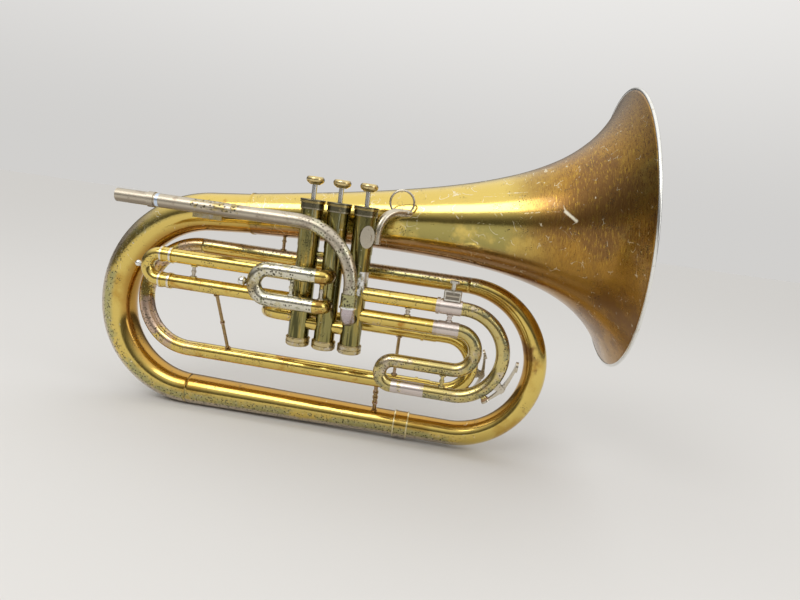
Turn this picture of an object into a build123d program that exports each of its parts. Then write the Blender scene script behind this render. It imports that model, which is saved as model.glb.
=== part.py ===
"""Marching baritone horn in B flat, bell forward, with three piston valves.

Frame: +X points out of the bell mouth, +Z runs up along the valve stems, and the
player's left is +Y.  The origin is on the floor under the middle of the horn, which
stands on the lowest point of its bottom bow.  All lengths are millimetres.
"""
import os
from math import cos, hypot, radians, sin

from build123d import *

os.makedirs("parts", exist_ok=True)

# ---------------------------------------------------------------- driving dimensions
# bell
BELL_DIAMETER = 266.7          # over the rim wire
RIM_WIRE_RADIUS = 1.5
RIM_X = 255.84
RIM_Z = 250.0
BELL_TILT = 5.3                # the bell axis rises towards the mouth
BELL_WALL = 0.7
BELL_LENGTH = 367.0            # along its own axis, rim to tail joint
BELL_FLARE = 0.77              # exponent of the flare curve
BELL_FLARE_SHIFT = 42.0        # the smaller, the sharper the flare at the rim
BELL_TAIL_RADIUS = 20.5

# large bows and the tubes between them (outer radii)
BOW_WALL = 0.7
BOW_STATIONS = 13              # sections along each curved run of a bow
BOTTOM_Z = 16.2                # centre line of the bottom tube
TAIL_RUN = 45.0                # straight part of the left bow, behind the bell tail
LEFT_BOW_UPPER_RADIUS = 107.0
LEFT_BOW_UPPER_TURN = 88.0
LEFT_BOW_FOOT_RADIUS = 16.2    # outer radius where the left bow meets the bottom tube
BOTTOM_JOINT_X = 73.0
BOTTOM_JOINT_RADIUS = 12.9
RIGHT_BOW_X = 122.5            # centre of the right bow
RIGHT_BOW_TAPER = 3.0          # above 1, the bow keeps its width until late in its run
RETURN_Z = 175.0               # upper return tube
RETURN_RADIUS = 8.3
FERRULE_WALL = 0.8
FERRULE_FIT = 0.05             # solder gap, radial
TAIL_FERRULE_WIDTH = 2.0
TAIL_FERRULE_BEAD = 0.8
BOTTOM_FERRULE_WIDTH = 15.0
BOTTOM_FERRULE_BEAD = 1.5

# inner bow, lower inner tube and main tuning slide
INNER_BOW_X = -161.0
INNER_Y = -18.0
INNER_Z = 66.5
INNER_TUBE_RADIUS = 8.0
TUNING_Z = 123.0               # upper leg, level with the valve outlets
TUNING_LEG_START = 0.0
TUNING_LEG_END = 85.0
TUNING_LEG_OVERLAP = 4.0       # the outlet tube inside the start of the upper leg
TUNING_INNER_START = 25.0
TUNING_BEND_X = 108.0
TUNING_WALL = 0.6
TUNING_FERRULE = 12.0
TUNING_BRACE_X = 60.0
LEG_RING_WIDTH = 3.0           # raised ring on the open end of an outer leg
LEG_RING_RISE = 0.9

# valves
VALVE_SPACING = 25.5
VALVE_2_X = -8.8
VALVE_Y = -58.0
VALVE_STROKE = 12.5
CASING_RADIUS = 10.0
SLEEVE_RADIUS = 10.4           # thicker spring barrel above the seam
CASING_BORE = 8.9
CASING_BOTTOM = 102.0
CASING_SEAM = 196.5
CASING_TOP = 238.0
BOTTOM_CAP_Z = 100.0
BOTTOM_CAP_HEIGHT = 8.7
BOTTOM_CAP_RADIUS = 11.6
TOP_CAP_Z = 231.0
TOP_CAP_HEIGHT = 9.3
TOP_CAP_RADIUS = 11.1
TOP_CAP_RIM_RADIUS = 12.0
TOP_CAP_RIM_HEIGHT = 3.3
TOP_CAP_GROOVE_WIDTH = 0.5       # turned groove round the rim
TOP_CAP_GROOVE_DEPTH = 0.4
PISTON_GAP = 0.05              # running clearance, radial
PISTON_BOTTOM = 115.5
PISTON_FLOOR = 192.5           # floor of the spring chamber
PISTON_TOP = 236.5
PISTON_WALL = 1.0
GUIDE_Z = 196.5
GUIDE_HEIGHT = 2.0
GUIDE_WIDTH = 2.4
STEM_RADIUS = 2.35
BUTTON_Z = 253.9
BUTTON_HEIGHT = 7.4
BUTTON_RADIUS = 8.4
BUTTON_NECK_RADIUS = 4.4
BUTTON_SHOULDER = 1.6
BUTTON_DISH_RADIUS = 6.0
BUTTON_DISH_DEPTH = 0.9
BUTTON_SOCKET = 3.0
SPRING_WIRE = 0.45
SPRING_TURNS = 9
MAIN_PORT_Z = 123.0
EXIT_PORT_Z = 128.5            # way out of valve 1
LEAD_PORT_Z = 135.0            # way into valve 3
CASING_BRACE_Z = 190.0
CASING_BRACE_RADIUS = 2.6

# air passages and slide tubes
BORE_RADIUS = 5.5
SLIDE_OUTER = 6.9
SLIDE_OUTER_BORE = 6.35
SLIDE_GAP = 0.04
SLIDE_INNER = SLIDE_OUTER_BORE - SLIDE_GAP
SLIDE_INNER_BORE = 5.7
BEND_RADIUS = 6.6              # outer radius of the third slide's bends
KNUCKLE_RADIUS = 6.6

# first valve slide, to the left of valve 1
SLIDE_1_UPPER_Z = 168.0
SLIDE_1_LOWER_Z = 143.0
SLIDE_1_LEG_END = -177.5
SLIDE_1_INSIDE = 102.0         # length of each inner leg inside its outer leg
SLIDE_1_BRACE_X = -144.0
SLIDE_1_FERRULE = 12.0
SLIDE_1_KNOB_RADIUS = 3.1
SLIDE_1_KNOB_NECK = 1.6

# second valve slide, in front of valve 1
SLIDE_2_UPPER_Z = 172.0
SLIDE_2_LOWER_Z = 144.0
SLIDE_2_Y = -80.0
SLIDE_2_ELBOW_END = -17.4
SLIDE_2_BEND_X = -61.7
SLIDE_2_ELBOW = 7.4
SLIDE_2_BRACE_X = -40.0
SLIDE_2_KNOB_RADIUS = 4.2
SLIDE_2_KNOB_NECK = 2.0
SLIDE_2_KNOB_ANGLE = 75.0      # towards the player's right, from the slide's plane

# third valve slide, to the right of valve 3, folded into a loop
SLIDE_3_UPPER_Z = 159.0
SLIDE_3_LOWER_Z = 138.0
SLIDE_3_MIDDLE_Z = 99.6
SLIDE_3_BOTTOM_Z = 74.8
SLIDE_3_LEG_END = 97.0
SLIDE_3_INSIDE = 52.0
SLIDE_3_OUTER_BEND_X = 120.4
SLIDE_3_INNER_BEND_X = 117.1
SLIDE_3_SMALL_BEND_X = 61.5
SLIDE_3_LEG_BRACE_X = 68.0
SLIDE_3_FERRULE = 20.0
FERRULE_RADIUS = 7.3

# leadpipe
LEAD_Y = -80.0
LEAD_Z = 220.0
LEAD_TIP_X = -213.5
LEAD_RADIUS = 6.4
LEAD_WALL = 0.8
LEAD_BEND = 55.5
LEAD_DROP_X = 14.6
LEAD_FERRULE_BOTTOM = 147.0
LEAD_FERRULE_TOP = 160.0
LEAD_FERRULE_BEAD = 0.6          # raised ring at its lower end
LEAD_ELBOW = 11.0
RECEIVER_LENGTH = 37.0
RECEIVER_RADIUS = 6.2
RECEIVER_BORE = 5.1
RECEIVER_DEPTH = 32.0
BRACKET_X = -126.0
BRACKET_WIDTH = 28.0
BRACKET_WAIST = 10.0
BRACKET_BASE = 209.6
BRACKET_THICKNESS = 5.4
BRACKET_FAR_Y = -10.0

# braces
SOLDER_LAP = 0.3               # how far a soldered ring or post runs into its tube
POST_RADIUS = 1.7
FLANGE_RADIUS = 3.2
FLANGE_HEIGHT = 1.3
HAND_BRACE_RADIUS = 4.2
HAND_BRACE_BEND = 22.0
HAND_BRACE_OFFSET = (12.6, 3.0)  # foot of the hand brace from the axis of valve 3
HAND_BRACE_FOOT_Z = 207.0
HAND_BRACE_END = (56.0, -28.0, 238.5)
LEAF_HEIGHT = 21.0             # leaf-shaped flange of the hand brace on valve 3
LEAF_WIDTH = 14.0
LEAF_Z = 213.0
LEAF_STRAP = (6.0, 10.0)         # height and width of the strap from the leaf to the brace
RING_CENTRE = (46.5, -35.5, 248.5)
RING_RADIUS = 11.5
RING_WIRE = 1.1
LOWER_BRACE_X = 43.0
LOWER_BRACE_RADIUS = 2.1
DIAGONAL_TOP_X = -120.0
DIAGONAL_FOOT_X = -117.0
VALVE_BRACE_Z = 221.0
BELL_BRACE_SETBACK = 34.6      # from the bell's tail joint, towards the rim

# water keys
KEY_HOLE_RADIUS = 1.5
KEY_NIPPLE_RADIUS = 2.9
KEY_NIPPLE_HEIGHT = 1.5
KEY_CORK_RADIUS = 3.6
KEY_CORK_HEIGHT = 1.8
KEY_CUP_RADIUS = 4.2
KEY_ARM = 1.6                    # lever's thickness at the pad
KEY_HINGE_RISE = 2.4             # extra thickness over the hinge
KEY_TIP_RISE = 0.8               # extra thickness at the thumb plate
KEY_WIDTH = 5.0
KEY_PIN_RADIUS = 0.9
KEY_HUB_RADIUS = 3.2
KEY_EAR = 1.1
KEY_GAP = 0.1

# lyre holder
LYRE_LENGTH = 16.5
LYRE_DEPTH = 11.0
LYRE_HEIGHT = 8.5
LYRE_BORE = 2.4
LYRE_SCREW_RADIUS = 1.5
LYRE_HEAD_RADIUS = 4.6
LYRE_HEAD_THICKNESS = 2.2
LYRE_SHANK = 7.0

# ---------------------------------------------------------------- derived values
VALVE_XS = [VALVE_2_X - VALVE_SPACING, VALVE_2_X, VALVE_2_X + VALVE_SPACING]
VALVE_1_X, _, VALVE_3_X = VALVE_XS
PISTON_RADIUS = CASING_BORE - PISTON_GAP
AXIS_RISE = (cos(radians(BELL_TILT)), sin(radians(BELL_TILT)))
BELL_PLANE = Plane(
    origin=(RIM_X, 0, RIM_Z),
    x_dir=(-AXIS_RISE[0], 0, -AXIS_RISE[1]),
    z_dir=(0, 1, 0),
)
BELL_AXIS = Axis(BELL_PLANE.origin, BELL_PLANE.x_dir)
RIM_MAJOR_RADIUS = BELL_DIAMETER / 2 - RIM_WIRE_RADIUS


def side_plane(y):
    """Plane facing the player's right, with local x along X and local y along Z."""
    return Plane.XZ.offset(-y)


def save(builder, label):
    """Label a finished sub-part, write it and hand it back."""
    builder.part.label = label
    export_step(builder.part, f"parts/{label}.step")
    return builder.part


def round_tube(path, outer, inner, x_dir=(0, 1, 0)):
    """Hollow round tube of one size along a path."""
    with BuildPart() as tube:
        with BuildSketch(Plane(origin=path @ 0, x_dir=x_dir, z_dir=path % 0)):
            Circle(outer)
            if inner:
                Circle(inner, mode=Mode.SUBTRACT)
        sweep(path=path)
    return tube.part


def tapered_solid(path, stations):
    """Solid round bar along a path in the XZ plane, with (fraction, radius) stations."""
    with BuildPart() as solid:
        for fraction, radius in stations:
            with BuildSketch(Plane(origin=path @ fraction, x_dir=(0, 1, 0), z_dir=path % fraction)):
                Circle(radius)
        loft()
    return solid.part


def tapered_bar(runs, start, end, power=1):
    """Solid round bar along joined lines and arcs, tapering with its length to a power."""
    whole = sum(run.length for run in runs)
    done = 0
    with BuildPart() as bar:
        for run in runs:
            count = 2 if run.geom_type == GeomType.LINE and power == 1 else BOW_STATIONS
            stations = []
            for i in range(count):
                fraction = i / (count - 1)
                along = (done + run.length * fraction) / whole
                stations.append((fraction, start + (end - start) * along ** power))
            done += run.length
            add(tapered_solid(run, stations))
    return bar.part


def tapered_tube(runs, start, end, wall, label, power=1):
    """Hollow tapering tube along joined lines and arcs, written as one sub-part."""
    with BuildPart() as tube:
        add(tapered_bar(runs, start, end, power))
        add(tapered_bar(runs, start - wall, end - wall, power), mode=Mode.SUBTRACT)
    return save(tube, label)


def straight_edge(start, end):
    """Straight edge between two points."""
    with BuildLine() as line:
        Line(start, end)
    return line.edge()


def straight_line(start, end):
    """Straight path between two points."""
    with BuildLine() as line:
        Line(start, end)
    return line.wire()


def post(start, end, radius=POST_RADIUS, beads=(0.5,)):
    """Round brace post between two points, with a flange at each end and beads between."""
    path = straight_line(start, end)
    with BuildPart() as rod:
        with BuildSketch(Plane(origin=path @ 0, z_dir=path % 0)):
            Circle(radius)
        extrude(amount=path.length)
        with BuildSketch(Plane(origin=path @ 0, z_dir=path % 0)):
            Circle(FLANGE_RADIUS)
        extrude(amount=FLANGE_HEIGHT)
        with BuildSketch(Plane(origin=path @ 1, z_dir=(path % 1) * -1)):
            Circle(FLANGE_RADIUS)
        extrude(amount=FLANGE_HEIGHT)
        for fraction in beads:
            with BuildSketch(Plane(origin=path @ fraction - (path % 0) * radius / 2, z_dir=path % 0)):
                Circle(radius * 1.4)
            extrude(amount=radius)
    return rod.part


def x_cylinder(x_start, x_end, y, z, radius):
    """Solid cylinder along X."""
    with BuildPart() as bar:
        with BuildSketch(Plane.YZ.offset(x_start)):
            with Locations((y, z)):
                Circle(radius)
        extrude(amount=x_end - x_start)
    return bar.part


def y_cylinder(x, z, y_start, y_end, radius):
    """Solid cylinder along Y."""
    with BuildPart() as bar:
        with BuildSketch(side_plane(y_start)):
            with Locations((x, z)):
                Circle(radius)
        extrude(amount=y_start - y_end)
    return bar.part


def z_cylinder(x, y, z_start, z_end, radius):
    """Solid cylinder along Z."""
    with BuildPart() as bar:
        with BuildSketch(Plane.XY.offset(z_start)):
            with Locations((x, y)):
                Circle(radius)
        extrude(amount=z_end - z_start)
    return bar.part


def polar(centre, radius, angle):
    """Point of a circle in the XZ plane, angle in degrees from +X towards +Z."""
    return (centre[0] + radius * cos(radians(angle)), centre[1] + radius * sin(radians(angle)))


# ---------------------------------------------------------------- bell
def bell_radius(distance):
    """Outer radius of the bell at a distance from the rim along its axis."""
    flare = (1 + distance / BELL_FLARE_SHIFT) ** -BELL_FLARE
    end = (1 + BELL_LENGTH / BELL_FLARE_SHIFT) ** -BELL_FLARE
    tail = BELL_TAIL_RADIUS
    return tail + (RIM_MAJOR_RADIUS - tail) * (flare - end) / (1 - end)


def bell_profile(inset):
    """Points of the bell wall, moved inwards along the wall's normal by inset."""
    points = []
    step = 0.01
    for i in range(15):
        distance = BELL_LENGTH * (i / 14) ** 2
        slope = (bell_radius(distance + step) - bell_radius(distance)) / step
        length = hypot(1, slope)
        points.append((distance + inset * slope / length, bell_radius(distance) - inset / length))
    points[-1] = (BELL_LENGTH, BELL_TAIL_RADIUS - inset)
    return points


with BuildPart() as rim_wire:
    with BuildSketch(BELL_PLANE):
        with Locations((0, RIM_MAJOR_RADIUS)):
            Circle(RIM_WIRE_RADIUS)
    revolve(axis=BELL_AXIS)
rim_wire_part = save(rim_wire, "bell_rim_wire")

with BuildPart() as bell:
    with BuildSketch(BELL_PLANE):
        with BuildLine():
            outer_wall = Spline(*bell_profile(0))
            inner_wall = Spline(*bell_profile(BELL_WALL))
            Line(outer_wall @ 0, inner_wall @ 0)
            Line(outer_wall @ 1, inner_wall @ 1)
        make_face()
    revolve(axis=BELL_AXIS)
    add(rim_wire_part, mode=Mode.SUBTRACT)
save(bell, "bell")

with BuildPart() as bell_envelope:
    with BuildSketch(BELL_PLANE):
        with BuildLine():
            wall = Spline(*bell_profile(0))
            Polyline(wall @ 0, ((wall @ 0).X, 0), ((wall @ 1).X, 0), wall @ 1)
        make_face()
    revolve(axis=BELL_AXIS)
bell_solid = bell_envelope.part

# ---------------------------------------------------------------- large bows
with BuildLine(side_plane(0)) as left_path:
    tail_joint = BELL_PLANE.from_local_coords((BELL_LENGTH, 0, 0))
    tail_line = Line(tail_joint, BELL_PLANE.from_local_coords((BELL_LENGTH + TAIL_RUN, 0, 0)))
    upper_arc = JernArc(tail_line @ 1, tail_line % 1, LEFT_BOW_UPPER_RADIUS, LEFT_BOW_UPPER_TURN)
    turn_left = 180 - BELL_TILT - LEFT_BOW_UPPER_TURN
    lower_radius = ((upper_arc @ 1).Z - BOTTOM_Z) / (1 - cos(radians(turn_left)))
    lower_arc = JernArc(upper_arc @ 1, upper_arc % 1, lower_radius, turn_left)
LEFT_BOW_FOOT_X = (lower_arc @ 1).X

left_runs = (tail_line, upper_arc, lower_arc)
tapered_tube(left_runs, BELL_TAIL_RADIUS, LEFT_BOW_FOOT_RADIUS, BOW_WALL, "left_bow")
left_bow_solid = tapered_bar(left_runs, BELL_TAIL_RADIUS, LEFT_BOW_FOOT_RADIUS)

bottom_path = straight_edge((LEFT_BOW_FOOT_X, 0, BOTTOM_Z), (BOTTOM_JOINT_X, 0, BOTTOM_Z))
tapered_tube([bottom_path], LEFT_BOW_FOOT_RADIUS, BOTTOM_JOINT_RADIUS, BOW_WALL, "bottom_tube")
bottom_solid = tapered_bar([bottom_path], LEFT_BOW_FOOT_RADIUS, BOTTOM_JOINT_RADIUS)

with BuildLine(side_plane(0)) as right_path:
    bottom_line = Line((BOTTOM_JOINT_X, BOTTOM_Z), (RIGHT_BOW_X, BOTTOM_Z))
    right_arc = JernArc(bottom_line @ 1, bottom_line % 1, (RETURN_Z - BOTTOM_Z) / 2, 180)
tapered_tube((bottom_line, right_arc), BOTTOM_JOINT_RADIUS, RETURN_RADIUS, BOW_WALL, "right_bow",
             RIGHT_BOW_TAPER)

return_path = straight_edge((RIGHT_BOW_X, 0, RETURN_Z), (INNER_BOW_X, 0, RETURN_Z))
tapered_tube([return_path], RETURN_RADIUS, INNER_TUBE_RADIUS, TUNING_WALL, "upper_return_tube")
return_solid = tapered_bar([return_path], RETURN_RADIUS, INNER_TUBE_RADIUS)


def joint_ferrule(point, direction, tube_radius, width, bead, label):
    """Ferrule over the joint of two tubes, with raised beads at its ends."""
    bore = tube_radius + FERRULE_FIT
    with BuildPart() as ferrule:
        with BuildSketch(Plane(origin=point - direction * (width / 2), z_dir=direction)):
            Circle(bore + FERRULE_WALL)
            Circle(bore, mode=Mode.SUBTRACT)
        extrude(amount=width)
        for start in (-width / 2, width / 2 - bead):
            with BuildSketch(Plane(origin=point + direction * start, z_dir=direction)):
                Circle(bore + FERRULE_WALL + bead / 3)
                Circle(bore, mode=Mode.SUBTRACT)
            extrude(amount=bead)
    return save(ferrule, label)


tail_widest = bell_radius(BELL_LENGTH - TAIL_FERRULE_WIDTH / 2)
joint_ferrule(Vector(tail_joint), BELL_PLANE.x_dir, tail_widest, TAIL_FERRULE_WIDTH,
              TAIL_FERRULE_BEAD, "bell_tail_ferrule")
bottom_taper = (LEFT_BOW_FOOT_RADIUS - BOTTOM_JOINT_RADIUS) / bottom_path.length
bottom_widest = BOTTOM_JOINT_RADIUS + bottom_taper * BOTTOM_FERRULE_WIDTH / 2
joint_ferrule(Vector(BOTTOM_JOINT_X, 0, BOTTOM_Z), Vector(1, 0, 0), bottom_widest,
              BOTTOM_FERRULE_WIDTH, BOTTOM_FERRULE_BEAD, "bottom_ferrule")

# ---------------------------------------------------------------- inner bow
INNER_BOW_TOP = Vector(INNER_BOW_X, 0, RETURN_Z)
INNER_BOW_END = Vector(INNER_BOW_X, INNER_Y, INNER_Z)
INNER_BOW_ACROSS = INNER_BOW_END - INNER_BOW_TOP
INNER_BOW_PLANE = Plane(
    origin=(INNER_BOW_TOP + INNER_BOW_END) / 2,
    x_dir=(1, 0, 0),
    z_dir=Vector(1, 0, 0).cross(INNER_BOW_ACROSS * -1).normalized(),
)
with BuildLine(INNER_BOW_PLANE) as inner_path:
    CenterArc((0, 0), INNER_BOW_ACROSS.length / 2, 90, 180)
with BuildPart() as inner_bow:
    add(round_tube(inner_path.wire(), INNER_TUBE_RADIUS, INNER_TUBE_RADIUS - TUNING_WALL,
                   INNER_BOW_PLANE.z_dir))
save(inner_bow, "inner_bow")


def slide_leg_end(x_end, y, z, outer, direction):
    """Ring on the open end of an outer slide leg."""
    with BuildPart() as ring:
        with BuildSketch(Plane.YZ.offset(x_end)):
            with Locations((y, z)):
                Circle(outer + LEG_RING_RISE)
                Circle(outer - SOLDER_LAP, mode=Mode.SUBTRACT)
        extrude(amount=-direction * LEG_RING_WIDTH)
    return ring.part


with BuildPart() as lower_inner_tube:
    add(round_tube(straight_line((INNER_BOW_X, INNER_Y, INNER_Z), (TUNING_LEG_END, INNER_Y, INNER_Z)),
                   INNER_TUBE_RADIUS, INNER_TUBE_RADIUS - TUNING_WALL))
    add(slide_leg_end(TUNING_LEG_END, INNER_Y, INNER_Z, INNER_TUBE_RADIUS, 1))
save(lower_inner_tube, "lower_inner_tube")

EXIT_BEND_X = VALVE_1_X - CASING_RADIUS - 7.0
EXIT_ACROSS = Vector(0, INNER_Y - VALVE_Y, TUNING_Z - EXIT_PORT_Z)
EXIT_BEND = EXIT_ACROSS.length / 2
EXIT_PLANE = Plane(
    origin=Vector(EXIT_BEND_X, VALVE_Y, EXIT_PORT_Z) + EXIT_ACROSS / 2,
    x_dir=(1, 0, 0),
    z_dir=Vector(1, 0, 0).cross(EXIT_ACROSS).normalized(),
)
with BuildLine(EXIT_PLANE) as exit_path:
    exit_line = Line((VALVE_1_X - EXIT_BEND_X, -EXIT_BEND), (0, -EXIT_BEND))
    exit_arc = JernArc(exit_line @ 1, exit_line % 1, EXIT_BEND, -180)
    Line(exit_arc @ 1, (TUNING_LEG_START + TUNING_LEG_OVERLAP - EXIT_BEND_X, EXIT_BEND))
with BuildPart() as valve_exit_tube:
    add(round_tube(exit_path.wire(), SLIDE_OUTER, BORE_RADIUS, EXIT_PLANE.z_dir))
    with BuildSketch(Plane.YZ.offset(TUNING_LEG_START)):
        with Locations((INNER_Y, TUNING_Z)):
            Circle(INNER_TUBE_RADIUS)
            Circle(SLIDE_OUTER - SOLDER_LAP, mode=Mode.SUBTRACT)
    extrude(amount=TUNING_LEG_OVERLAP)
    add(round_tube(straight_line((TUNING_LEG_START + TUNING_LEG_OVERLAP, INNER_Y, TUNING_Z),
                                 (TUNING_LEG_END, INNER_Y, TUNING_Z)),
                   INNER_TUBE_RADIUS, INNER_TUBE_RADIUS - TUNING_WALL))
    add(slide_leg_end(TUNING_LEG_END, INNER_Y, TUNING_Z, INNER_TUBE_RADIUS, 1))
    with BuildSketch(Plane.YZ.offset(TUNING_LEG_START + TUNING_LEG_OVERLAP)):
        with Locations((INNER_Y, TUNING_Z)):
            Circle(INNER_TUBE_RADIUS - TUNING_WALL / 2)
            Circle(BORE_RADIUS, mode=Mode.SUBTRACT)
    extrude(amount=-TUNING_WALL)
    add(z_cylinder(VALVE_1_X, VALVE_Y, CASING_BOTTOM, CASING_SEAM, CASING_RADIUS), mode=Mode.SUBTRACT)
save(valve_exit_tube, "valve_exit_tube")


# ---------------------------------------------------------------- water keys
class WaterKey:
    """Places of a water key on the outside of a bend in the XZ plane."""

    def __init__(self, centre, bend, tube, y, pad_angle, saddle_angle, tip_angle):
        self.centre = centre
        self.surface = bend + tube
        self.tube = tube
        self.y = y
        self.pad_angle = pad_angle
        self.saddle_angle = saddle_angle
        self.tip_angle = tip_angle
        self.cork_base = self.surface + KEY_NIPPLE_HEIGHT + KEY_GAP / 2
        self.cup_base = self.cork_base + KEY_CORK_HEIGHT
        self.pin_radius = self.cup_base + KEY_ARM

    def radial_plane(self, angle, radius):
        """Plane at a point of the bend, facing outwards from the bend's centre."""
        x, z = polar(self.centre, radius, angle)
        return Plane(origin=(x, self.y, z), x_dir=(0, 1, 0),
                     z_dir=(cos(radians(angle)), 0, sin(radians(angle))))

    def pin(self):
        """Centre of the hinge pin in the XZ plane."""
        return polar(self.centre, self.pin_radius, self.saddle_angle)


def key_nipple(key):
    """Raised seat around the drain hole, with the hole's solid for cutting."""
    with BuildPart() as nipple:
        with BuildSketch(key.radial_plane(key.pad_angle, key.surface - 0.6)):
            Circle(KEY_NIPPLE_RADIUS)
        extrude(amount=KEY_NIPPLE_HEIGHT + 0.6)
    with BuildPart() as hole:
        with BuildSketch(key.radial_plane(key.pad_angle, key.surface - key.tube)):
            Circle(KEY_HOLE_RADIUS)
        extrude(amount=key.tube + KEY_NIPPLE_HEIGHT + 1)
    return nipple.part, hole.part


def key_saddle(key, tube_solid, label):
    """Saddle soldered on the bend, with two ears and the hinge pin."""
    ear_inner = KEY_WIDTH / 2 + KEY_GAP
    ear_height = key.pin_radius - key.surface + 2.4
    with BuildPart() as saddle:
        with BuildSketch(key.radial_plane(key.saddle_angle, key.surface - 2.0)):
            Rectangle(2 * (ear_inner + KEY_EAR), 8.0)
        extrude(amount=2.9)
        for side in (-1, 1):
            with BuildSketch(key.radial_plane(key.saddle_angle, key.surface - 0.5)):
                with Locations((side * (ear_inner + KEY_EAR / 2), 0)):
                    Rectangle(KEY_EAR, 6.2)
            extrude(amount=ear_height + 0.5)
        add(tube_solid, mode=Mode.SUBTRACT)
        pin_x, pin_z = key.pin()
        reach = ear_inner + KEY_EAR + 0.4
        add(y_cylinder(pin_x, pin_z, key.y + reach, key.y - reach, KEY_PIN_RADIUS))
    return save(saddle, label)


def key_lever(key, label):
    """Sprung lever with its hub, its pad cup and its thumb plate."""
    inner = key.cup_base
    outer = inner + KEY_ARM
    lift = 3.2
    with BuildPart() as lever:
        with BuildSketch(side_plane(key.y + KEY_WIDTH / 2)):
            with BuildLine():
                pad_in = polar(key.centre, inner, key.pad_angle)
                pad_out = polar(key.centre, outer, key.pad_angle)
                hinge_in = polar(key.centre, inner, key.saddle_angle)
                hinge_out = polar(key.centre, outer + KEY_HINGE_RISE, key.saddle_angle)
                tip_in = polar(key.centre, inner + lift, key.tip_angle)
                tip_out = polar(key.centre, outer + lift + KEY_TIP_RISE, key.tip_angle)
                middle = (key.pad_angle + key.saddle_angle) / 2
                bow = (key.saddle_angle + key.tip_angle) / 2
                ThreePointArc(pad_in, polar(key.centre, inner, middle), hinge_in)
                ThreePointArc(hinge_in, polar(key.centre, inner + lift * 0.3, bow), tip_in)
                Line(tip_in, tip_out)
                ThreePointArc(tip_out, polar(key.centre, outer + KEY_HINGE_RISE * 0.8, bow), hinge_out)
                ThreePointArc(hinge_out, polar(key.centre, outer + KEY_HINGE_RISE * 0.3, middle),
                              pad_out)
                Line(pad_out, pad_in)
            make_face()
        extrude(amount=KEY_WIDTH)
        pin_x, pin_z = key.pin()
        add(y_cylinder(pin_x, pin_z, key.y + KEY_WIDTH / 2, key.y - KEY_WIDTH / 2, KEY_HUB_RADIUS))
        with BuildSketch(key.radial_plane(key.pad_angle, key.cup_base)):
            Circle(KEY_CUP_RADIUS)
        extrude(amount=KEY_ARM + 0.4)
        with BuildSketch(key.radial_plane(key.tip_angle, inner + lift - 0.2)):
            with Locations((0, -2.0)):
                Ellipse(KEY_WIDTH / 2 + 1.2, 5.0)
        extrude(amount=KEY_ARM + KEY_TIP_RISE)
        add(y_cylinder(pin_x, pin_z, key.y + KEY_WIDTH, key.y - KEY_WIDTH, KEY_PIN_RADIUS + 0.05),
            mode=Mode.SUBTRACT)
        with BuildSketch(key.radial_plane(key.pad_angle, key.cork_base)):
            Circle(KEY_CORK_RADIUS + 2.0)
        extrude(amount=KEY_CORK_HEIGHT, mode=Mode.SUBTRACT)
    return save(lever, label)


def key_cork(key, label):
    """Cork pad between the drain seat and the pad cup."""
    with BuildPart() as cork:
        with BuildSketch(key.radial_plane(key.pad_angle, key.cork_base)):
            Circle(KEY_CORK_RADIUS)
        extrude(amount=KEY_CORK_HEIGHT)
    return save(cork, label)


def water_key_nodes(key, tube_solid, number):
    """The saddle, lever and cork of one water key."""
    key_saddle(key, tube_solid, f"water_key_{number}_saddle")
    key_lever(key, f"water_key_{number}_lever")
    key_cork(key, f"water_key_{number}_cork")


# ---------------------------------------------------------------- main tuning slide
TUNING_INNER = INNER_TUBE_RADIUS - TUNING_WALL - SLIDE_GAP
TUNING_INNER_BORE = TUNING_INNER - TUNING_WALL
TUNING_BEND = (TUNING_Z - INNER_Z) / 2
TUNING_CENTRE = (TUNING_BEND_X, INNER_Z + TUNING_BEND)
key_2 = WaterKey(TUNING_CENTRE, TUNING_BEND, TUNING_INNER, INNER_Y, -40, -8, 24)
with BuildLine(side_plane(INNER_Y)) as tuning_path:
    tuning_top = Line((TUNING_INNER_START, INNER_Z), (TUNING_BEND_X, INNER_Z))
    tuning_arc = JernArc(tuning_top @ 1, tuning_top % 1, TUNING_BEND, 180)
    Line(tuning_arc @ 1, (TUNING_INNER_START, TUNING_Z))
with BuildPart() as tuning_crook:
    add(round_tube(tuning_path.wire(), TUNING_INNER, TUNING_INNER_BORE))
    for leg_z in (INNER_Z, TUNING_Z):
        with BuildSketch(Plane.YZ.offset(TUNING_LEG_END + 0.5)):
            with Locations((INNER_Y, leg_z)):
                Circle(TUNING_INNER + 0.7)
                Circle(TUNING_INNER - SOLDER_LAP, mode=Mode.SUBTRACT)
        extrude(amount=TUNING_FERRULE)
    tuning_seat, tuning_drain = key_nipple(key_2)
    add(tuning_seat)
    add(tuning_drain, mode=Mode.SUBTRACT)
    with BuildLine(side_plane(INNER_Y)) as tuning_core_path:
        CenterArc(TUNING_CENTRE, TUNING_BEND, -90, 180)
    add(round_tube(tuning_core_path.wire(), TUNING_INNER_BORE, 0), mode=Mode.SUBTRACT)
save(tuning_crook, "tuning_crook")
water_key_nodes(key_2, round_tube(tuning_path.wire(), TUNING_INNER, 0), 2)

with BuildPart() as tuning_brace:
    add(post((TUNING_BRACE_X, INNER_Y, INNER_Z + INNER_TUBE_RADIUS - 0.4),
             (TUNING_BRACE_X, INNER_Y, TUNING_Z - INNER_TUBE_RADIUS + 0.4)))
    add(x_cylinder(0, TUNING_LEG_END, INNER_Y, INNER_Z, INNER_TUBE_RADIUS), mode=Mode.SUBTRACT)
    add(x_cylinder(0, TUNING_LEG_END, INNER_Y, TUNING_Z, INNER_TUBE_RADIUS), mode=Mode.SUBTRACT)
save(tuning_brace, "tuning_brace")


# ---------------------------------------------------------------- valves
SLIDE_PORTS = [
    (SLIDE_1_UPPER_Z, SLIDE_1_LOWER_Z, (-1, 0)),
    (SLIDE_2_UPPER_Z, SLIDE_2_LOWER_Z, (0, -1)),
    (SLIDE_3_UPPER_Z, SLIDE_3_LOWER_Z, (1, 0)),
]


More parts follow.
